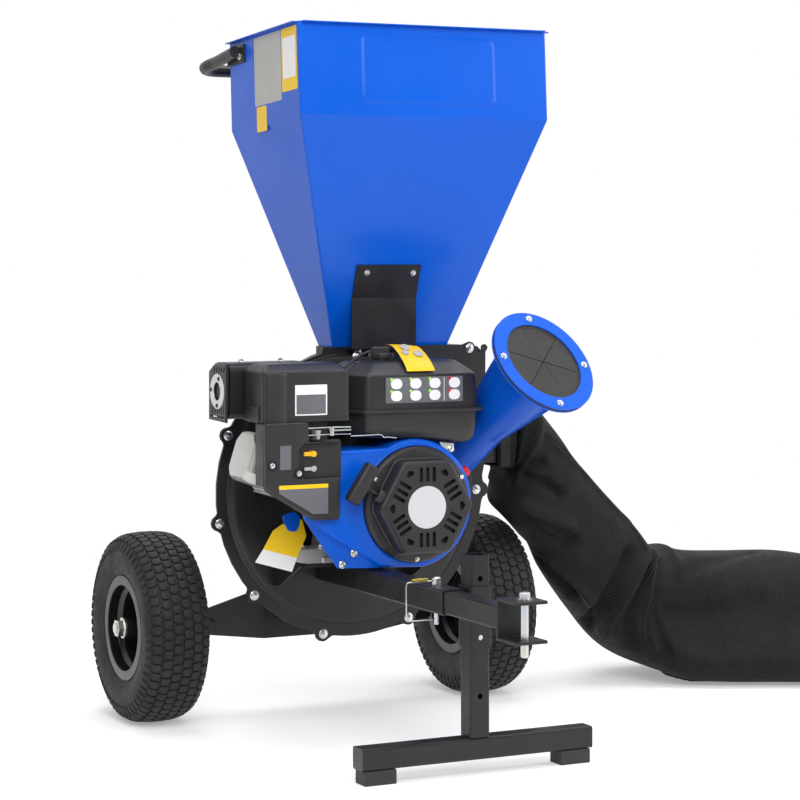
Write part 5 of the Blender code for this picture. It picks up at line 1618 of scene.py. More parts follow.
@dataclass
class PetrolEngine(Assembly):
    """The engine's painted and moulded covers, its tank, cleaner, guard and small parts."""

    crank_x: float = 0.006
    crank_z: float = 0.400
    shroud_radius: float = 0.108
    shroud_back: float = -0.300
    shroud_front: float = -0.385
    fan_hole: float = 0.0915
    cover_radius: float = 0.097
    cover_front: float = -0.430
    dome_z: float = 0.3985
    cylinder_tilt: float = math.radians(17.5)
    tank_left: float = -0.104
    tank_right: float = 0.135
    tank_front: float = -0.385
    tank_back: float = -0.230
    tank_seam: float = 0.5555
    tank_high: float = 0.638
    cap_growth: float = 1.13

    def build(self) -> None:
        """Make every cover, from the shroud to the guard of the silencer."""
        self.shroud()
        self.starter_cover()
        self.grip()
        self.cord()
        self.tank()
        self.tank_films()
        self.filler()
        self.strip()
        self.breather()
        self.cleaner()
        self.carburettor()
        self.panel()
        self.rods()
        self.rocker_cover()
        self.guard()
        self.small_parts()
        self.tag()

    def shroud(self) -> None:
        """Press the painted shroud: its round end, its arm with a bevelled foot, and the fan's ridge."""
        crease = [(-0.0617, 0.2965), (-0.0967, 0.3192), (-0.1947, 0.3812)]
        corner = soften_corners([(-0.1960, 0.3900), (-0.1960, 0.4920), (-0.1500, 0.4935)], 0.006, 3)[4:8]
        outline = arc(self.crank_x, self.crank_z, self.shroud_radius, 118, -82, 48) + crease + corner
        hole = circle(self.crank_x, self.crank_z, self.fan_hole, 72)
        shape = Shape().cushion(outline, self.shroud_back, self.shroud_front, "Y", 0.0070, (hole,), 0.003, 6)
        for point in shape.mesh.verts:
            low = smooth_step((0.455 - point.co.z) / 0.03) * smooth_step((-0.045 - point.co.x) / 0.03)
            edge = self.shroud_front + 0.0085
            if point.co.y > edge:
                point.co.y += (edge - point.co.y) * low
        self.add(shape, "shroud_cover", BLUE, replaces=["fan_shroud"], crease=45)
        front = self.shroud_front + 0.0012
        foot = [(-0.0600, front, 0.2962), (-0.0960, front, 0.3205), (-0.1945, front, 0.3830),
                (-0.1902, front + 0.012, 0.3790), (-0.1315, front + 0.012, 0.2985),
                (-0.0640, front + 0.006, 0.2960)]
        bevel = Shape()
        bevel.loft([[Vector(p) + Vector((0, d, 0)) for p in foot] for d in (0.0, 0.0018)])
        self.add(bevel, "shroud_foot", BLUE, crease=30)
        ridge = [(-SINK, 0.1010), (0.0004, 0.1004), (0.0010, 0.0992), (0.0010, 0.0984), (0.0003, 0.0975),
                 (-SINK, 0.0972)]
        centre = (self.crank_x, self.shroud_front, self.crank_z)
        self.add(Shape().lathe(ridge, centre, FORWARD, 96), "shroud_ridge", BLUE, crease=60)
        places = seats(FORWARD, (-0.1241, front + 0.010, 0.3045), (-0.1058, front + 0.003, 0.3232))
        self.bolts("shroud_bolts", places, 0.0048, 0.0042, 0.0066)

    def starter_cover(self) -> None:
        """Mould the starter housing: a round base, a six-sided dome with its slots, and a dark disc of
        painted shade behind them.
        """
        centre = (self.crank_x, self.shroud_front - 0.0003, self.crank_z)
        ring = [(0.0, 0.070), (0.0, self.cover_radius), (0.0065, self.cover_radius),
                (0.0095, self.cover_radius - 0.002), (0.0120, self.cover_radius - 0.007),
                (0.0130, 0.074), (0.002, 0.070)]
        self.add(Shape().lathe(ring, centre, FORWARD, 96), "starter_base", PLASTIC, crease=50)
        middle = (self.crank_x, self.dome_z)
        outline = placed(soften_corners(circle(0.0, 0.0, 0.0885, 6), 0.016, 6), 0, middle)
        slot = rounded(-0.0031, 0.0031, 0.0420, 0.0660, 0.0014, 2)
        vent = soften_corners([(-0.0070, 0.0605), (-0.0070, 0.0660), (0.0, 0.0712), (0.0070, 0.0660),
                               (0.0070, 0.0605)], 0.0025, 2)
        holes = []
        for k in range(6):
            for offset in (-0.012, 0.0, 0.012):
                holes.append(placed([(u + offset, v) for u, v in slot], 60 * k, middle))
            holes.append(placed(vent, 30 + 60 * k, middle))
        back = self.shroud_front
        dome = Shape().cushion(outline, back - 0.010, self.cover_front, "Y", 0.0070, holes, 0.0045, 5)
        self.add(dome, "starter_dome", PLASTIC, replaces=["recoil_cover"], crease=45)
        step = Shape().cushion(inset(outline, -0.0040), back - 0.008, back - 0.0185, "Y", 0.0035,
                               (inset(outline, 0.0030),))
        self.add(step, "starter_step", PLASTIC, crease=45)
        # A dark rubber disc inside the dome behind its slots: painted shade, so the slots read dark.
        shade_disc = Shape().prism(circle(*middle, 0.0710, 48), self.cover_front + 0.0100,
                               self.cover_front + 0.0115, "Y")
        self.add(shade_disc, "starter_screen", RUBBER)
        badge = [(-SINK, 0.0), (-SINK, 0.0346), (0.0003, 0.0352), (0.0006, 0.0346), (0.0006, 0.0)]
        face = (self.crank_x - 0.0012, self.cover_front, self.dome_z)
        self.add(Shape().lathe(badge, face, FORWARD, 72, False), "blank_badge", BADGE, crease=60)
        seat = back - 0.0075
        places = seats(FORWARD, (0.0032, seat, 0.3092), (-0.0735, seat, 0.4450), (0.0872, seat, 0.4425))
        self.bolts("starter_screws", places, 0.0040, 0.0060, 0.0052)

    def grip_line(self) -> tuple[Vector, Vector]:
        """Return the middle of the pull grip and the way that its rope runs in."""
        return Vector((-0.1065, self.cover_front + 0.017, 0.4403)), Vector((0.837, 0.0, -0.547)).normalized()

    def grip(self) -> None:
        """Mould the pull grip with its stem, and the rope's guide."""
        middle, pull = self.grip_line()
        along = Vector((pull.z, 0, -pull.x))
        depth = Vector((0, 1, 0))
        sections = []
        for share, grow in ((-1.0, 0.80), (-0.965, 0.95), (-0.90, 1.0), (0.0, 1.04), (0.90, 1.0),
                            (0.965, 0.95), (1.0, 0.80)):
            base = middle + along * (0.0352 * share)
            outline = rounded(-0.0122 * grow, 0.0122 * grow, -0.0103 * grow, 0.0103 * grow, 0.0055 * grow, 4)
            sections.append([base + pull * a + depth * b for a, b in outline])
        shape = Shape().loft(sections)
        stem = [(0.008, 0.0), (0.008, 0.0085), (0.0125, 0.0085), (0.0160, 0.0060), (0.0168, 0.0045),
                (0.0168, 0.0)]
        shape.lathe(stem, middle, pull, 24, False)
        self.add(shape, "pull_grip", PLASTIC, "starter", ["starter_grip"], crease=45)
        guide = [(0.0320, 0.0050), (0.0320, 0.0095), (0.0345, 0.0115), (0.0420, 0.0118), (0.0460, 0.0125),
                 (0.0460, 0.0050)]
        self.add(Shape().lathe(guide, middle, pull, 32), "rope_guide", PLASTIC, crease=45)

    def cord(self) -> None:
        """Draw the starter's rope from the grip through its guide."""
        middle, pull = self.grip_line()
        start = middle + pull * 0.0173
        points = [start + pull * (0.150 * i / 19) + MACHINE_ORIGIN for i in range(20)]
        curve = bpy.data.curves.new("starter_cord", "CURVE")
        curve.dimensions = "3D"
        curve.bevel_depth = 0.002
        curve.bevel_resolution = 4
        curve.use_fill_caps = True
        line = curve.splines.new("POLY")
        line.points.add(len(points) - 1)
        for spot, point in zip(line.points, points):
            spot.co = (*point, 1.0)
        curve.materials.append(ROPE.material())
        cord = bpy.data.objects.new("starter_cord", curve)
        bpy.context.scene.collection.objects.link(cord)
        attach(cord, "starter")
        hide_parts("starter_rope")

    def tank(self) -> None:
        """Mould the tank: lower lobe, seam flange, upright band and bevelled top."""
        def section(shrink: float, z: float, bend: float = 0.026) -> list[Point]:
            """Draw the tank's outline at one height.

            Args:
                shrink: how far inside the tank's sides it lies.
                z: the height.
                bend: the radius of its corners.

            Returns:
                The outline's points.
            """
            corners = [(self.tank_right, self.tank_back), (self.tank_left, self.tank_back),
                       (self.tank_left, self.tank_front + 0.045),
                       (self.tank_left + 0.020, self.tank_front + 0.004),
                       (self.tank_left + 0.034, self.tank_front), (self.tank_right, self.tank_front)]
            most = 0.006
            outline = soften_corners(inset(corners, min(shrink, most)), bend, 6)
            middle = Vector(((self.tank_left + self.tank_right) / 2, (self.tank_front + self.tank_back) / 2))
            rest = max(0.0, shrink - most)
            wide = 1.0 - rest * 2.0 / (self.tank_right - self.tank_left)
            deep = 1.0 - rest * 2.0 / (self.tank_back - self.tank_front)
            return [(middle.x + (x - middle.x) * wide, middle.y + (y - middle.y) * deep, z)
                    for x, y in outline]

        def dropped(shrink: float, z: float, bend: float) -> list[Point]:
            """Return a level of the lower lobe, which hangs lower at its right end."""
            return [(x, y, z - 0.0125 * smooth_step((x - 0.055) / 0.035))
                    for x, y, z in section(shrink, z, bend)]

        seam = self.tank_seam
        levels = [dropped(0.034, 0.5105, 0.016), dropped(0.024, 0.5100, 0.020),
                  dropped(0.014, 0.5125, 0.024), dropped(0.007, 0.5180, 0.026)]
        levels += [section(shrink, z) for shrink, z in (
            (0.0035, 0.5270), (0.0020, seam - 0.0028), (-0.0050, seam - 0.0028), (-0.0060, seam - 0.0018),
            (-0.0060, seam + 0.0014), (-0.0050, seam + 0.0024), (0.0015, seam + 0.0024), (0.0040, 0.6130),
            (0.0060, 0.6170), (0.0290, 0.6340), (0.0340, 0.6365), (0.0420, 0.6378),
            (0.0500, self.tank_high))]
        self.add(Shape().loft(levels), "tank_body", PLASTIC, replaces=["fuel_tank"], crease=50)
        sump = rounded(-0.070, 0.060, self.shroud_back + 0.0003, -0.240, 0.008, 3)
        self.add(Shape().prism(sump, 0.490, 0.515), "tank_mount", BLACK_COAT, bevel=0.002)

    def tank_films(self) -> None:
        """Lay the blank plate with its rounds, dots and line on the tank's front."""
        front = self.tank_front + 0.0027
        plate, white, green, red = Shape(), Shape(), Shape(), Shape()
        plate.cushion(rounded(-0.0486, 0.0966, 0.5690, 0.6120, 0.0015, 2), front + SINK, front - 0.0012,
                      "Y", 0.0002)
        self.add(plate, "tank_film", GREY_LABEL)
        half, tall, bend = 0.0105, 0.0086, 0.0084
        for column in (-0.0285, 0.0075, 0.0435, 0.0805):
            for row in (0.5810, 0.6010):
                outline = rounded(column - half, column + half, row - tall, row + tall, bend, 8)
                white.prism(outline, front - 0.0010, front - 0.0015, "Y")
                dot = circle(column - 0.0095, row + 0.0075, 0.0028, 16)
                (red if column > 0.06 else green).prism(dot, front - 0.0013, front - 0.0018, "Y")
        self.add(green, "tank_film_green", GREEN_FILM)
        self.add(red, "tank_film_red", RED)
        line = rounded(0.0604, 0.0614, 0.5710, 0.6105, 0.0003, 1)
        white.prism(line, front - 0.0010, front - 0.0015, "Y")
        self.add(white, "tank_film_rounds", WHITE_FILM)

    def filler(self) -> None:
        """Mould the filler cap with its flutes and lug bar."""
        centre = Vector((-0.022, -0.312, self.tank_high + 0.0003))
        rings = []
        for height, radius, flute in ((0.0, 0.0165, 0.0), (0.0035, 0.0165, 0.0), (0.0035, 0.0190, 0.0004),
                                      (0.0050, 0.0198, 0.0009), (0.0110, 0.0194, 0.0009),
                                      (0.0122, 0.0180, 0.0), (0.0125, 0.0150, 0.0)):
            outline = []
            for i in range(96):
                turn = 2 * math.pi * i / 96
                here = radius * self.cap_growth - flute * (0.5 + 0.5 * math.cos(16 * turn))
                outline.append(centre + Vector((here * math.cos(turn), here * math.sin(turn), height)))
            rings.append(outline)
        shape = Shape().loft(rings)
        bar = placed(rounded(-0.0150, 0.0150, -0.0058, 0.0058, 0.003, 3), -24, (centre.x - 0.001, centre.y))
        shape.cushion(bar, centre.z + 0.0115, centre.z + 0.0225, "Z", 0.0022)
        self.add(shape, "filler_cap", PLASTIC, "fuel_cap", ["fuel_cap"], crease=45)

    def strip(self) -> None:
        """Lay the yellow strip with its blank rounds over the filler."""
        path = [(-0.300, 0.6625), (-0.312, 0.6640), (-0.326, 0.6612), (-0.340, 0.6545), (-0.352, 0.6475),
                (-0.364, 0.6385), (-0.374, 0.6290), (-0.3795, 0.6215)]
        line = spline(path, 5)
        rows = []
        for i, spot in enumerate(line):
            share = i / (len(line) - 1)
            start = -0.0075 + 0.0010 * share
            lift = 0.0040 * (1.0 - share)
            rows.append([(start + (0.0505 + 0.002 * share) * k / 8, spot[0], spot[1] - lift * (k / 8) ** 2)
                         for k in range(9)])
        sheet = Shape()
        rings = [sheet.ring(row) for row in rows]
        sheet.bridge(rings, closed=False)
        self.add(sheet, "yellow_strip", YELLOW_FILM, wall=0.0006, crease=80)
        rounds = Shape()
        for x, y, z, radius in ((0.0125, -0.3335, 0.6592, 0.0085), (0.0060, -0.3475, 0.6512, 0.0065),
                                (0.0290, -0.3500, 0.6490, 0.0085)):
            tilt = Matrix.Translation((x, y, z)) @ Matrix.Rotation(math.radians(33), 4, "X")
            disc = Shape().prism(circle(0, 0, radius, 24), 0.0004, 0.0010).turned(tilt)
            rounds.mesh.from_mesh(disc.mesh_data("disc", Vector()))
        self.add(rounds, "strip_rounds", PALE_FILM)

    def hose(self, name: str, points: Sequence[Point], radius: float, sides: int) -> None:
        """Bend a rubber hose, lead or string through points.

        Args:
            name: the piece's name.
            points: the points on its middle line.
            radius: its radius.
            sides: the segments round it.
        """
        line = Shape().sweep(spline(points, 5), circle(0, 0, radius, sides))
        self.add(line, name, RUBBER, crease=60)

    def breather(self) -> None:
        """Bend the breather's hose and set its bolt."""
        points = [(-0.1026, -0.320, 0.6200), (-0.085, -0.319, 0.6330), (-0.064, -0.318, 0.6470),
                  (-0.0429, -0.316, 0.6540)]
        self.hose("breather_hose", points, 0.0024, 10)
        self.bolts("breather_bolt", seats(FORWARD, (-0.0640, -0.300, 0.6450)), 0.0052, 0.0060, 0.0056)

    def cleaner(self) -> None:
        """Mould the air cleaner's cover with its column, base and latch, and lay its blank label."""
        left, right, front, back = -0.2710, -0.1145, -0.3870, -0.3000
        levels = [(0.0035, 0.5425), (0.0, 0.5440), (0.0, 0.6225), (0.0012, 0.6270), (0.0080, 0.6345),
                  (0.0110, 0.6370), (0.0160, 0.6380)]
        sections = []
        for shrink, z in levels:
            slope = max(0.0, z - 0.6225) * 0.7
            outline = rounded(left + shrink, right - shrink, front + shrink + slope, back - shrink, 0.009, 5)
            sections.append([(x, y, z) for x, y in outline])
        shape = Shape().loft(sections)
        self.add(shape, "cleaner_cover", PLASTIC, replaces=["air_cleaner"], crease=45)
        trim = Shape()
        middle = Vector((-0.2485, front))
        bulge = [(middle.x - 0.0208 * math.cos(t), front + 0.0015 - 0.0090 * math.sin(t) ** 0.85)
                 for t in (math.pi * k / 18 for k in range(19))]
        levels = [(1.0, 0.5440), (1.0, 0.6195), (0.985, 0.6222), (0.93, 0.6240), (0.80, 0.6248)]
        trim.loft([[(middle.x + (x - middle.x) * share, middle.y + (y - middle.y) * share, z)
                    for x, y in bulge] for share, z in levels])
        base = rounded(left - 0.0012, right + 0.0006, front - 0.0012, back + 0.002, 0.009, 4)
        trim.prism(base, 0.5440, 0.5475)
        self.add(trim, "cleaner_trim", PLASTIC, crease=35)
        latch = Shape().cushion(rounded(-0.3700, -0.3300, 0.5430, 0.5700, 0.002, 3), left + SINK,
                                left - 0.0028, "X", 0.0010)
        self.add(latch, "cleaner_latch", PLASTIC, crease=45)
        label = rounded(-0.2154, -0.1578, 0.5540, 0.6040, 0.001, 2)
        self.film("cleaner_label", label, front, 0.0004, WHITE_FILM)
        field = rounded(-0.2130, -0.1602, 0.5562, 0.5880, 0.0005, 2)
        self.film("cleaner_label_field", field, front, 0.0006, GREY_LABEL)

    def carburettor(self) -> None:
        """Set the carburettor, dark with painted shade, and the clamp of the throttle under the cleaner."""
        body = Shape().prism(rounded(-0.190, -0.145, -0.366, -0.318, 0.006, 3), 0.4938, 0.5480)
        # The carburettor's body takes the dark rubber finish as painted shade: it sits in shadow under the
        # cleaner, though it is bare aluminium.
        self.add(body, "carburettor", RUBBER, bevel=0.002)
        outline = [(-0.1790, 0.5290), (-0.1700, 0.5290), (-0.1725, 0.5120), (-0.1765, 0.5120)]
        clamp = Shape().cushion(outline, -0.3660, -0.3900, "Y", 0.0008)
        self.add(clamp, "throttle_clamp", ZINC, crease=40)

    def panel(self) -> None:
        """Mould the control panel with its recess, films and screws."""
        front = -0.400
        back = self.shroud_front - 0.0003
        outline = [(-0.2734, 0.5438), (-0.2723, 0.4399), (-0.2676, 0.4321), (-0.1842, 0.3824),
                   (-0.1395, 0.3823), (-0.1387, 0.4520), (-0.2040, 0.4520), (-0.2130, 0.4600),
                   (-0.2130, 0.4990), (-0.2050, 0.5080), (-0.1387, 0.5080), (-0.1387, 0.5141),
                   (-0.1960, 0.5140), (-0.1960, 0.5438)]
        shape = Shape().cushion(soften_corners(outline, 0.005, 3), back, front, "Y", 0.0036)
        floor = [(-0.2150, 0.4500), (-0.1335, 0.4500), (-0.1335, 0.5100), (-0.2150, 0.5100)]
        shape.prism(floor, back, -0.3885, "Y")
        self.add(shape, "panel_face", PLASTIC, replaces=["control_panel"], crease=45)
        skirt = Shape().cushion(rounded(-0.2734, -0.2660, 0.4400, 0.5430, 0.003, 3), -0.359, back - 0.006,
                                "Y", 0.001)
        self.add(skirt, "panel_skirt", PLASTIC, crease=45)
        icons = rounded(-0.2478, -0.2283, 0.4680, 0.5070, 0.001, 2)
        self.film("panel_icons", icons, front, 0.0004, GREY_LABEL)
        field = [(-0.2496, 0.4380), (-0.1621, 0.4380), (-0.1621, 0.3935), (-0.1890, 0.3938),
                 (-0.2496, 0.4300)]
        self.film("panel_field", field, front, 0.0004, GREY_LABEL)
        band = [(-0.2496, 0.4425), (-0.2496, 0.4360), (-0.1621, 0.4360), (-0.1621, 0.4425)]
        self.film("panel_band", band, front, 0.0006, YELLOW_FILM)
        bosses = ((-0.2615, 0.4753, 0.0085), (-0.2141, 0.4609, 0.0090))
        rims = Shape()
        for x, z, radius in bosses:
            profile = [(-0.002, radius - 0.0035), (-0.002, radius), (0.0012, radius),
                       (0.0018, radius - 0.0008), (0.0018, radius - 0.0028)]
            rims.lathe(profile, (x, front, z), FORWARD, 32)
        # The rims are near black: painted shade, as of a recess round each screw.
        self.add(rims, "panel_bosses", SHADE_BLACK)
        places = seats(FORWARD, *((x, front, z) for x, z, _ in bosses))
        self.bolts("panel_bolts", places, 0.0040, 0.0034, 0.0050)

    def rods(self) -> None:
        """Bend the rods of the throttle."""
        rod = Shape()
        for z in (0.5215, 0.5330):
            line = [(-0.1960, -0.3925, z), (-0.1500, -0.3930, z + 0.0006), (-0.1180, -0.3935, z + 0.0002)]
            rod.sweep(spline(line, 4), circle(0, 0, 0.0011, 8))
        tail = spline([(-0.1180, -0.3935, 0.5180), (-0.0850, -0.3925, 0.5182), (-0.0620, -0.3920, 0.5182),
                       (-0.0560, -0.3918, 0.5135), (-0.0500, -0.3918, 0.5140), (-0.0330, -0.3915, 0.5118)], 4)
        rod.sweep(tail, circle(0, 0, 0.0010, 8))
        self.add(rod, "throttle_rods", ZINC, crease=60)

    def rocker_cover(self) -> None:
        """Cast the eight-sided valve cover with its flange and screws."""
        along = Vector((-math.cos(self.cylinder_tilt), 0, math.sin(self.cylinder_tilt)))
        across = Vector((math.sin(self.cylinder_tilt), 0, math.cos(self.cylinder_tilt)))
        centre = Vector((self.crank_x, -0.2498, self.crank_z))

        def level(distance: float, grow: float, taper: float) -> list[Vector]:
            """Draw the eight-sided outline of one level.

            Args:
                distance: how far it is from the crankshaft.
                grow: how much it grows on every side.
                taper: the factor of its size.

            Returns:
                The outline's points.
            """
            half_y = 0.0498 * taper + grow
            half = 0.0470 * taper + grow
            chop = 0.0160 * taper
            corners = [(half_y, half - chop), (half_y - chop, half), (-half_y + chop, half),
                       (-half_y, half - chop), (-half_y, -half + chop), (-half_y + chop, -half),
                       (half_y - chop, -half), (half_y, -half + chop)]
            outline = soften_corners(corners, 0.004, 3)
            return [centre + along * distance + Vector((0, 1, 0)) * u + across * v for u, v in outline]

        flange = 0.2190
        levels = [level(0.2148, 0.0, 1.0), level(flange, 0.0, 1.0), level(0.2192, -0.002, 1.0),
                  level(0.2205, -0.003, 1.0), level(0.2560, -0.003, 0.97), level(0.2640, -0.003, 0.93),
                  level(0.2700, -0.003, 0.84)]
        self.add(Shape().loft(levels), "rocker_cover", CAST, replaces=["valve_cover"], crease=40)
        places = [centre + along * flange + Vector((0, y, 0)) + across * v
                  for y in (-0.0440, 0.0440) for v in (-0.0320, 0.0320)]
        self.bolts("rocker_bolts", seats(along, *places), 0.0044, 0.0045, 0.0060)

    def guard(self) -> None:
        """Fold the silencer's guard, with slots pressed in its left face and the outlet ring."""
        left, right, front, back, low, high = -0.3040, -0.1550, -0.3090, -0.2310, 0.5405, 0.6375
        face = [(front + 0.004, low - 0.001), (back - 0.001, low + 0.001), (back - 0.001, high - 0.015),
                (back - 0.028, high - 0.001), (front + 0.001, high - 0.001)]
        outlet_y, outlet_z = -0.270, 0.590
        holes = [circle(outlet_y, outlet_z, 0.0150, 32)]
        for k in range(5):
            y = -0.2985 + 0.0102 * k
            holes.append(placed(rounded(-0.0016, 0.0016, -0.0058, 0.0058, 0.0014, 2), 36, (y, 0.6265)))
        for k in range(7):
            y = -0.2960 + 0.0082 * k
            holes.append(rounded(y - 0.0014, y + 0.0014, 0.5535, 0.5660, 0.0012, 2))
        holes.append(rounded(-0.2990, -0.2420, 0.5470, 0.5500, 0.0014, 2))
        shape = Shape().cushion(face, left + 0.0040, left, "X", 0.0022, holes)
        self.add(shape, "guard_end", BLACK_COAT, replaces=["muffler_guard"], crease=45)
        near = front + 0.010
        wrap = Shape().prism(rounded(near, back, low + 0.004, high, 0.016, 6), left + 0.0110, right, "X")
        fold = rounded(near + 0.006, back - 0.002, low + 0.008, high - 0.006, 0.014, 6)
        wrap.prism(fold, left + 0.0030, right, "X")
        self.add(wrap, "guard_wrap", BLACK_COAT, bevel=0.0010)
        ring = [(-0.0008, 0.0150), (0.0012, 0.0155), (0.0016, 0.0180), (0.0016, 0.0280), (0.0006, 0.0292),
                (-0.0008, 0.0292)]
        outward = (-1, 0, 0)
        outlet = (left, outlet_y, outlet_z)
        self.add(Shape().lathe(ring, outlet, outward, 64), "outlet_ring", BADGE, crease=45)
        dots = [(left - 0.0012, outlet_y + 0.0235 * math.cos(a), outlet_z + 0.0235 * math.sin(a))
                for a in (math.radians(115), math.radians(5), math.radians(265))]
        self.bolts("outlet_screws", seats(outward, *dots), 0.0030, 0.0022, 0.0040, BLACK_COAT)
        places = seats((0, 0, 1), (-0.262, -0.270, high), (-0.190, -0.270, high))
        self.bolts("guard_bolts", places, 0.0044, 0.0052, 0.0058)

    def small_parts(self) -> None:
        """Add the plug lead, the foot casting with its studs, and the body of the fuel cock."""
        lead = [(-0.2300, -0.3050, 0.5330), (-0.2440, -0.3180, 0.5200), (-0.2480, -0.3260, 0.5020),
                (-0.2440, -0.3280, 0.4850), (-0.2330, -0.3240, 0.4720), (-0.2180, -0.3120, 0.4650)]
        self.hose("plug_lead", lead, 0.0034, 12)
        outline = [(-0.177, 0.3040), (-0.177, 0.3210), (-0.160, 0.3230), (-0.107, 0.3230),
                   (-0.107, 0.2972), (-0.150, 0.2972)]
        casting = Shape().prism(soften_corners(outline, 0.004, 2), -0.296, -0.250, "Y")
        self.add(casting, "engine_foot", CAST, bevel=0.0015)
        places = seats((0, 0, 1), (-0.1569, -0.282, 0.3228), (-0.1246, -0.290, 0.3228))
        self.bolts("foot_bolts", places, 0.0052, 0.0062, 0.0080)
        outline = [(0.0560, 0.5020), (0.0860, 0.4975), (0.0845, 0.4850), (0.0760, 0.4820), (0.0640, 0.4890)]
        tap = Shape().cushion(soften_corners(outline, 0.002, 2), -0.366, -0.373, "Y", 0.0015)
        self.add(tap, "fuel_tap", ZINC, crease=45)
        self.bolts("fuel_tap_nut", seats(FORWARD, (0.0790, -0.373, 0.4880)), 0.0046, 0.0050, 0.0050)

    def tag(self) -> None:
        """Hang the blank tag with its tie and string on the panel."""
        face, foot, tie = Shape(), Shape(), Shape()
        y = -0.3020
        thick = 0.0006
        face.prism([(-0.1643, 0.3741), (-0.1569, 0.3458), (-0.1738, 0.3103), (-0.2352, 0.3281),
                    (-0.2177, 0.3577), (-0.1990, 0.3690), (-0.1860, 0.3560), (-0.1760, 0.3560),
                    (-0.1700, 0.3740)], y, y - thick, "Y")
        foot.prism([(-0.1738, 0.3103), (-0.1831, 0.2875), (-0.2498, 0.3071), (-0.2352, 0.3281)],
                   y, y - thick, "Y")
        self.add(face, "hang_tag", YELLOW_FILM)
        self.add(foot, "hang_tag_foot", WHITE_FILM)
        loop = [(-0.2017, 0.3817), (-0.1975, 0.3700), (-0.1908, 0.3561), (-0.1762, 0.3537), (-0.1700, 0.3650),
                (-0.1689, 0.3800), (-0.1790, 0.3880), (-0.1900, 0.3860)]
        tie.cushion(soften_corners(loop, 0.006, 3), y, y - 0.0030, "Y", 0.0012)
        self.add(tie, "tag_tie", BLUE, crease=60)
        string = [(-0.1800, y + 0.002, 0.3800), (-0.1770, y, 0.3920), (-0.1720, y - 0.004, 0.4050)]
        self.hose("tag_string", string, 0.0014, 8)


@dataclass(frozen=True)
class Fold:
    """A ridge or crease of the cloth along a line of section numbers and angles in degrees."""

    line: tuple[tuple[float, float], ...]
    height: float
    width: float

    def lift(self, along: np.ndarray, turn: np.ndarray) -> np.ndarray:
        """Work out how far the cloth stands out.

        Args:
            along: section numbers.
            turn: the angles round the bag that go with them, in degrees.

        Returns:
            The height at each of these places, in metres.
        """
        metres_per_section, metres_per_degree = 0.092, 0.0018
        pitch = np.array((metres_per_section, metres_per_degree))
        place = np.stack((along, turn), -1) * pitch
        nearest = np.full(along.shape, np.inf)
        for first, last in zip(self.line, self.line[1:]):
            start = np.array(first) * pitch
            step = np.array(last) * pitch - start
            share = np.clip(((place - start) @ step) / (step @ step), 0.0, 1.0)
            nearest = np.minimum(nearest, np.linalg.norm(place - start - share[..., None] * step, axis=-1))
        return self.height * np.exp(-((nearest / self.width) ** 2))


def stitch_generator(finish: Finish) -> Generator:
    """Build a tree that lays a short thread along its axis on every point of its seed mesh.

    Args:
        finish: the thread's surface.

    Returns:
        The tree, with the inputs Thread and Length.
    """
    tree = Generator("stitches", {"Thread": 0.00035, "Length": 0.0032})
    thread = tree.graph.node("GeometryNodeMeshCylinder", None, {
        "Vertices": 5, "Radius": tree.size("Thread"), "Depth": tree.size("Length")})
    return tree.close(tree.stand(thread), finish)


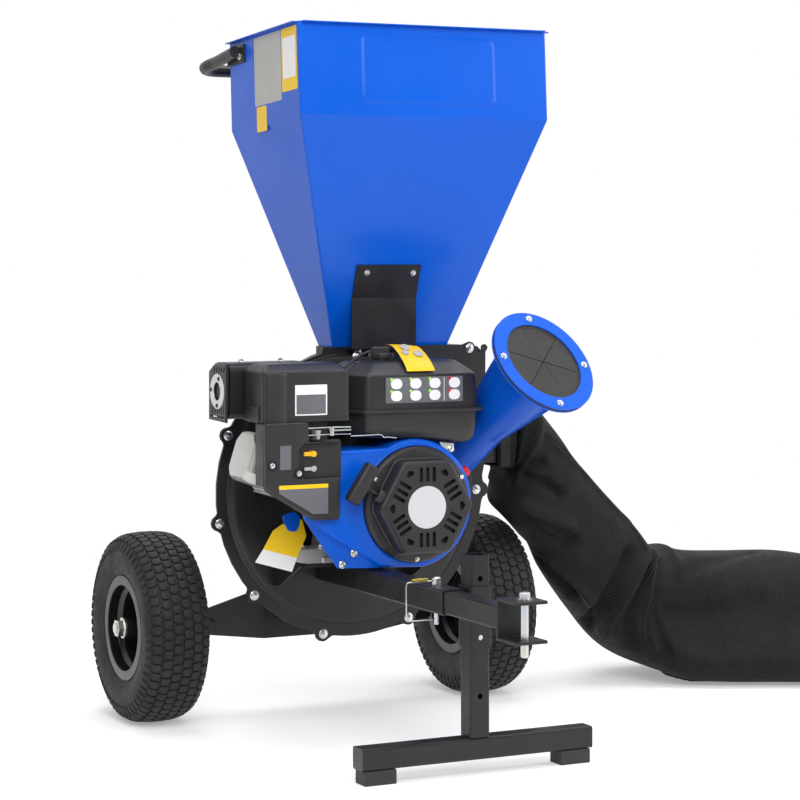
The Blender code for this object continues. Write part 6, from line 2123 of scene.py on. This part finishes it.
@dataclass
class CollectingBag(Assembly):
    """The ribbed cloth bag: a lofted shell that sags from the duct and lies on the ground."""

    around: int = 160
    steps: int = 20
    wall: float = 0.0009
    ends: float = 0.16
    girth: float = 0.72
    stitch: float = 0.0052
    ripple: float = 0.0012
    neck_shrink: float = 0.0055
    elbow_fullness: float = 0.015
    saddle: float = 0.018
    low_crown: float = 0.009
    high_crown: float = 0.021
    flare_reach: float = 0.092
    clearance: float = 0.0012
    depth: float = 1.45
    folds: tuple[Fold, ...] = (
        Fold(((1.50, 165), (1.58, 200), (1.75, 242)), -0.015, 0.011),
        Fold(((2.20, 152), (2.20, 178), (2.20, 202), (2.30, 222), (2.40, 242)), 0.012, 0.015),
        Fold(((1.85, 240), (2.30, 210), (2.65, 184)), -0.009, 0.009),
        Fold(((1.85, 240), (2.65, 214), (2.95, 198), (3.30, 192)), -0.011, 0.011),
        Fold(((2.05, 300), (2.45, 274), (2.85, 240), (3.40, 224), (3.90, 208)), 0.012, 0.013),
        Fold(((2.60, 292), (3.00, 256), (3.50, 238), (4.00, 221)), -0.006, 0.010),
        Fold(((2.60, 316), (2.90, 268), (3.45, 254), (3.85, 246), (4.15, 232), (4.25, 214)), -0.010, 0.011),
        Fold(((4.20, 286), (4.45, 260), (4.80, 248), (5.25, 242), (5.60, 238)), 0.009, 0.011),
        Fold(((4.25, 300), (4.50, 278), (4.85, 266), (5.20, 259)), -0.022, 0.019),
        Fold(((5.60, 238), (5.80, 250), (5.95, 262)), 0.003, 0.012),
        Fold(((5.50, 170), (5.60, 200), (5.85, 236), (6.25, 270)), -0.014, 0.013),
        Fold(((6.05, 150), (5.90, 168), (5.98, 200), (6.12, 228), (6.40, 252)), 0.012, 0.011),
        Fold(((6.14, 152), (6.18, 190), (6.42, 216), (6.75, 236)), -0.010, 0.012),
        Fold(((6.25, 136), (6.32, 166), (6.52, 186), (6.80, 204), (7.10, 222)), 0.006, 0.008),
        Fold(((6.50, 140), (6.60, 170), (6.80, 190), (7.10, 208), (7.40, 222)), -0.006, 0.012),
        Fold(((2.40, 146), (2.75, 144), (3.50, 131), (4.25, 134), (5.20, 126), (5.85, 136)), -0.0040, 0.006),
        Fold(((2.40, 154), (2.75, 152), (3.50, 140), (4.25, 142), (5.20, 135), (5.85, 144)), 0.0030, 0.006),
        Fold(((7.85, 258), (8.15, 251), (8.90, 250), (9.60, 250), (11.5, 248)), 0.0045, 0.006),
        Fold(((7.85, 266), (8.15, 259), (8.90, 258), (9.60, 258), (11.5, 256)), -0.0045, 0.006),
        Fold(((7.15, 184), (8.30, 172), (9.00, 164), (9.50, 154)), -0.0050, 0.012),
        Fold(((7.50, 148), (8.90, 116), (9.50, 96)), -0.0040, 0.014),
        Fold(((7.40, 205), (8.60, 212), (9.80, 204), (11.0, 210)), 0.0035, 0.016))
    sections: tuple[tuple[Point, Point, float, float, float], ...] = (
        ((0.296, -0.095, 0.500), (1.0, 0.0, 0.0), 0.0515, 0.0685, 20.0),
        ((0.324, -0.095, 0.500), (1.0, 0.0, 0.0), 0.0515, 0.0685, 20.0),
        ((0.358, -0.093, 0.484), (0.93, 0.03, -0.36), 0.058, 0.078, 3.0),
        ((0.402, -0.082, 0.410), (0.61, 0.20, -0.76), 0.068, 0.088, 2.6),
        ((0.470, -0.056, 0.340), (0.70, 0.22, -0.68), 0.078, 0.092, 2.4),
        ((0.537, -0.032, 0.270), (0.72, 0.20, -0.66), 0.090, 0.100, 2.3),
        ((0.603, -0.014, 0.206), (0.76, 0.14, -0.63), 0.102, 0.106, 2.3),
        ((0.672, -0.002, 0.152), (0.88, 0.00, -0.42), 0.115, 0.118, 2.4),
        ((0.756, -0.006, 0.118), (0.93, -0.28, -0.08), 0.124, 0.118, 2.6),
        ((0.850, -0.045, 0.110), (0.894, -0.449, 0.0), 0.130, 0.114, 2.6),
        ((0.950, -0.095, 0.106), (0.894, -0.449, 0.0), 0.134, 0.108, 2.5),
        ((1.040, -0.140, 0.094), (0.894, -0.449, 0.0), 0.138, 0.094, 2.4),
        ((1.105, -0.172, 0.068), (0.894, -0.449, 0.0), 0.142, 0.064, 2.3),
        ((1.134, -0.187, 0.032), (0.894, -0.449, 0.0), 0.144, 0.026, 2.2))

    def build(self) -> None:
        """Make the shell with its folds, its stitched hems and the strap at its neck."""
        self.shell()
        self.stitches()
        self.strap()

    def rows(self) -> list[list[float]]:
        """Lay a smooth line through the sections' numbers.

        Returns:
            A row of numbers for each step: place, heading, half sizes and squareness.
        """
        flat = [[*place, *Vector(heading).normalized(), width, height, power]
                for place, heading, width, height, power in self.sections]
        count = len(flat[0])
        table = [[0.0] * count for _ in range((len(flat) - 1) * self.steps + 1)]
        for column in range(count):
            line = spline([(0.0, row[column]) for row in flat], self.steps)
            for i, value in enumerate(line):
                table[i][column] = value[1]
        return table

    def spread(self, s: float, turn: float) -> tuple[float, float]:
        """Work out how much more room the cloth takes than the plain tube.

        Args:
            s: the section number.
            turn: the angle round the bag, in radians.

        Returns:
            How much wider and how much taller it lies there.
        """
        shrink = -self.neck_shrink * smooth_step((s - 1.3) / 1.0)
        underside = max(0.0, math.cos(turn - math.radians(285.0)))
        elbow = self.elbow_fullness * math.exp(-((s - 2.75) / 0.6) ** 2) * underside
        lying = smooth_step((s - 6.5) / 1.2) * (1.0 - smooth_step((s - 11.0) / 2.0))
        crown = self.low_crown * lying
        crown += self.high_crown * smooth_step((s - 8.0) / 2.5) * (1.0 - smooth_step((s - 11.4) / 1.6))
        crown -= self.saddle * math.exp(-((s - 6.5) / 0.6) ** 2)
        return shrink + elbow, shrink + elbow + crown * max(0.0, math.sin(turn)) ** 0.5

    def flare(self, s: float, height: float, cosine: float) -> float:
        """Work out how far the cloth of the front side runs out over the ground.

        Args:
            s: the section number.
            height: the height over the ground.
            cosine: the cosine of the angle round the bag, negative on the front side.

        Returns:
            The distance.
        """
        lying = smooth_step((s - 5.3) / 2.3) * (1.0 - smooth_step((s - 11.5) / 1.5))
        return self.flare_reach * lying * smooth_step((0.15 - height) / 0.15) * smooth_step(-cosine / 0.55)

    def shell(self) -> None:
        """Loft the cloth, lay its weave map, close its end and give it its thickness."""
        table = self.rows()
        lengths = [0.0]
        for row, last in zip(table[1:], table):
            lengths.append(lengths[-1] + (Vector(row[0:3]) - Vector(last[0:3])).length)
        self.cloth = self.folded(table)
        shape = Shape()
        layer = shape.mesh.loops.layers.uv.new("weave")
        rings = [shape.ring(row) for row in self.cloth]
        shape.bridge(rings)
        self.weave(shape, layer, rings, lengths)
        end = rings[-1]
        half = self.around // 2
        for k in range(1, half - 1):
            shape.mesh.faces.new((end[k], end[k + 1], end[self.around - k - 1], end[self.around - k]))
        shape.mesh.faces.new((end[0], end[1], end[self.around - 1]))
        shape.mesh.faces.new((end[half - 1], end[half], end[half + 1]))
        area = sum(face.calc_area() for face in shape.mesh.faces)
        cloth = self.add(shape, "bag_shell", CLOTH, replaces=["collecting_bag"], crease=180, wall=self.wall)
        length = round(lengths[-1] + self.ends, 2)
        LOG.info("bag cloth: %.3f m along, %.3f square metres", lengths[-1], area)
        round(area / length, 3)

    def folded(self, table: Sequence[Sequence[float]]) -> list[list[Vector]]:
        """Fold the cloth.

        Args:
            table: the rows of the smooth line.

        Returns:
            The cloth's points, one ring for each row.
        """
        along, turn = np.meshgrid(np.arange(len(table)) / self.steps,
                                  360.0 * np.arange(self.around) / self.around, indexing="ij")
        heights = self.depth * sum(fold.lift(along, turn) for fold in self.folds)
        calm = np.clip((along - 1.5) / 2.0, 0.0, 1.0)
        heights += self.ripple * np.sin(np.radians(turn) * 3.0 + along * 1.3) * calm
        heights *= np.clip((along - 1.1) / 0.4, 0.0, 1.0) * np.clip((12.6 - along) / 1.0, 0.0, 1.0)
        return [[self.point(row, i / self.steps, 2 * math.pi * k / self.around, float(heights[i, k]))
                 for k in range(self.around)] for i, row in enumerate(table)]

    def weave(
        self,
        shape: Shape,
        layer: bmesh.types.BMLayerItem,
        rings: Sequence[Sequence[bmesh.types.BMVert]],
        lengths: Sequence[float],
    ) -> None:
        """Lay the weave's map on the cloth, in metres.

        Args:
            shape: the cloth.
            layer: its map.
            rings: its rings of points.
            lengths: how far along the bag each ring lies.
        """
        number = {vert: (i, k) for i, ring in enumerate(rings) for k, vert in enumerate(ring)}
        for face in shape.mesh.faces:
            columns = [number[loop.vert][1] for loop in face.loops]
            wraps = max(columns) - min(columns) > 2
            for loop, column in zip(face.loops, columns):
                share = (column + self.around * (wraps and column == 0)) / self.around
                loop[layer].uv = (share * self.girth, lengths[number[loop.vert][0]])

    def point(self, row: Sequence[float], s: float, turn: float, height: float) -> Vector:
        """Find a point of the cloth.

        Args:
            row: the numbers of its row.
            s: its section number.
            turn: its angle round the bag, in radians.
            height: how far it is folded out or in.

        Returns:
            The point.
        """
        middle, heading = Vector(row[0:3]), Vector(row[3:6]).normalized()
        half_width, half_height, power = row[6:9]
        side = Vector((0, 0, 1)).cross(heading).normalized()
        up = heading.cross(side).normalized()
        cosine, sine = math.cos(turn), math.sin(turn)
        stretch = (abs(cosine) ** power + abs(sine) ** power) ** (-1.0 / power)
        wide, tall = self.spread(s, turn)
        place = middle + side * (half_width + height + wide) * cosine * stretch
        place += up * (half_height + height + tall) * sine * stretch
        place -= side * self.flare(s, place.z, cosine)
        place.z = max(place.z, self.clearance)
        return place

    def surface(self, s: float, degrees: float) -> Vector:
        """Find a point of the folded cloth between the lines of its mesh.

        Args:
            s: the section number.
            degrees: the angle round the bag.

        Returns:
            The point.
        """
        row, column = s * self.steps, degrees / 360.0 * self.around
        i, k = int(row), int(column)
        first = self.cloth[i][k].lerp(self.cloth[i][(k + 1) % self.around], column - k)
        second = self.cloth[i + 1][k].lerp(self.cloth[i + 1][(k + 1) % self.around], column - k)
        return first.lerp(second, row - i)

    def stitches(self) -> None:
        """Sew the hems: rows of short threads that lie on the cloth."""
        spots, axes = [], []
        nudge = Vector((-0.0003, -0.0006, 0.0002))
        hems = [[(row / 20.0, 141.0 - 0.35 * (row / 20.0 - 2.4)) for row in range(48, 118)],
                [(6.27 + 0.0025 * k + 0.00014 * k * k, 140.0 + 1.4 * k) for k in range(60)],
                [(7.9 + 0.06 * k, 254.5 - 0.03 * k) for k in range(60)]]
        for hem in hems:
            line = [self.surface(*spot) for spot in hem]
            total = 0.0
            for first, last in zip(line, line[1:]):
                step = last - first
                total += step.length
                while total > self.stitch:
                    total -= self.stitch
                    spots.append(last - step.normalized() * total + MACHINE_ORIGIN + nudge)
                    axes.append(step.normalized())
        seed = seed_points("bag_stitches", spots, axes)
        data = stitch_generator(THREAD).bake(seed, "bag_stitches", {"Thread": 0.0005, "Length": 0.0034})
        self.add(data, "bag_stitches", THREAD)

    def strap(self) -> None:
        """Wind the webbing strap round the neck and put its buckle on."""
        shape = Shape()
        layer = shape.mesh.loops.layers.uv.new("weave")
        rings = []
        half_y, half_z, y, z = 0.0515, 0.0685, -0.095, 0.500
        for x, grow in ((0.3000, 0.0004), (0.3000, 0.0022), (0.3200, 0.0022), (0.3200, 0.0004)):
            outline = rounded(-half_y - grow, half_y + grow, -half_z - grow, half_z + grow, 0.006, 4)
            rings.append(shape.ring((x, y + u, z + v) for u, v in outline))
        shape.bridge(rings, looped=True)
        for face in shape.mesh.faces:
            for loop in face.loops:
                co = loop.vert.co
                loop[layer].uv = (co.y + co.z, co.x)
        self.add(shape, "neck_strap", WEBBING, replaces=["bag_strap"], crease=40)
        eyes = [rounded(0.3030, 0.3170, low, low + 0.0050, 0.0015, 2) for low in (0.5240, 0.5350)]
        buckle = Shape().cushion(rounded(0.2990, 0.3210, 0.5200, 0.5450, 0.003, 3), -0.1490, -0.1530,
                                 "Y", 0.0012, eyes)
        self.add(buckle, "strap_buckle", PLASTIC, crease=45)


@dataclass
class TowFrame(Assembly):
    """Small parts of the tow frame and the push handle."""

    def build(self) -> None:
        """Make the lock wire's sleeve and the handle's screws."""
        sleeve = [(0.0, 0.0014), (0.001, 0.0018), (0.014, 0.0023), (0.027, 0.0018), (0.028, 0.0014)]
        wire = Shape().lathe(sleeve, (-0.0980, -0.577, 0.3019), (1, 0, 0), 20)
        self.add(wire, "wire_sleeve", DULL_YELLOW, "lock_wire")
        places = seats((-1, 0, 0), (-0.1622, -0.030, 1.166), (-0.1622, 0.000, 1.168))
        self.bolts("handle_bolts", places, 0.0048, 0.0042, 0.0064)


def main() -> None:
    """Dress the machine, one sub-assembly after another."""
    logging.basicConfig(level=logging.INFO, format="%(name)s: %(message)s")
    Studio().build()
    CarriedSolids().dress()
    TurfWheel(-1, "left").build()
    TurfWheel(1, "right").build()
    FeedHopper().build()
    ChippingChute().build()
    ShredderHousing().build()
    PetrolEngine().build()
    CollectingBag().build()
    TowFrame().build()


if __name__ == "__main__":
    main()
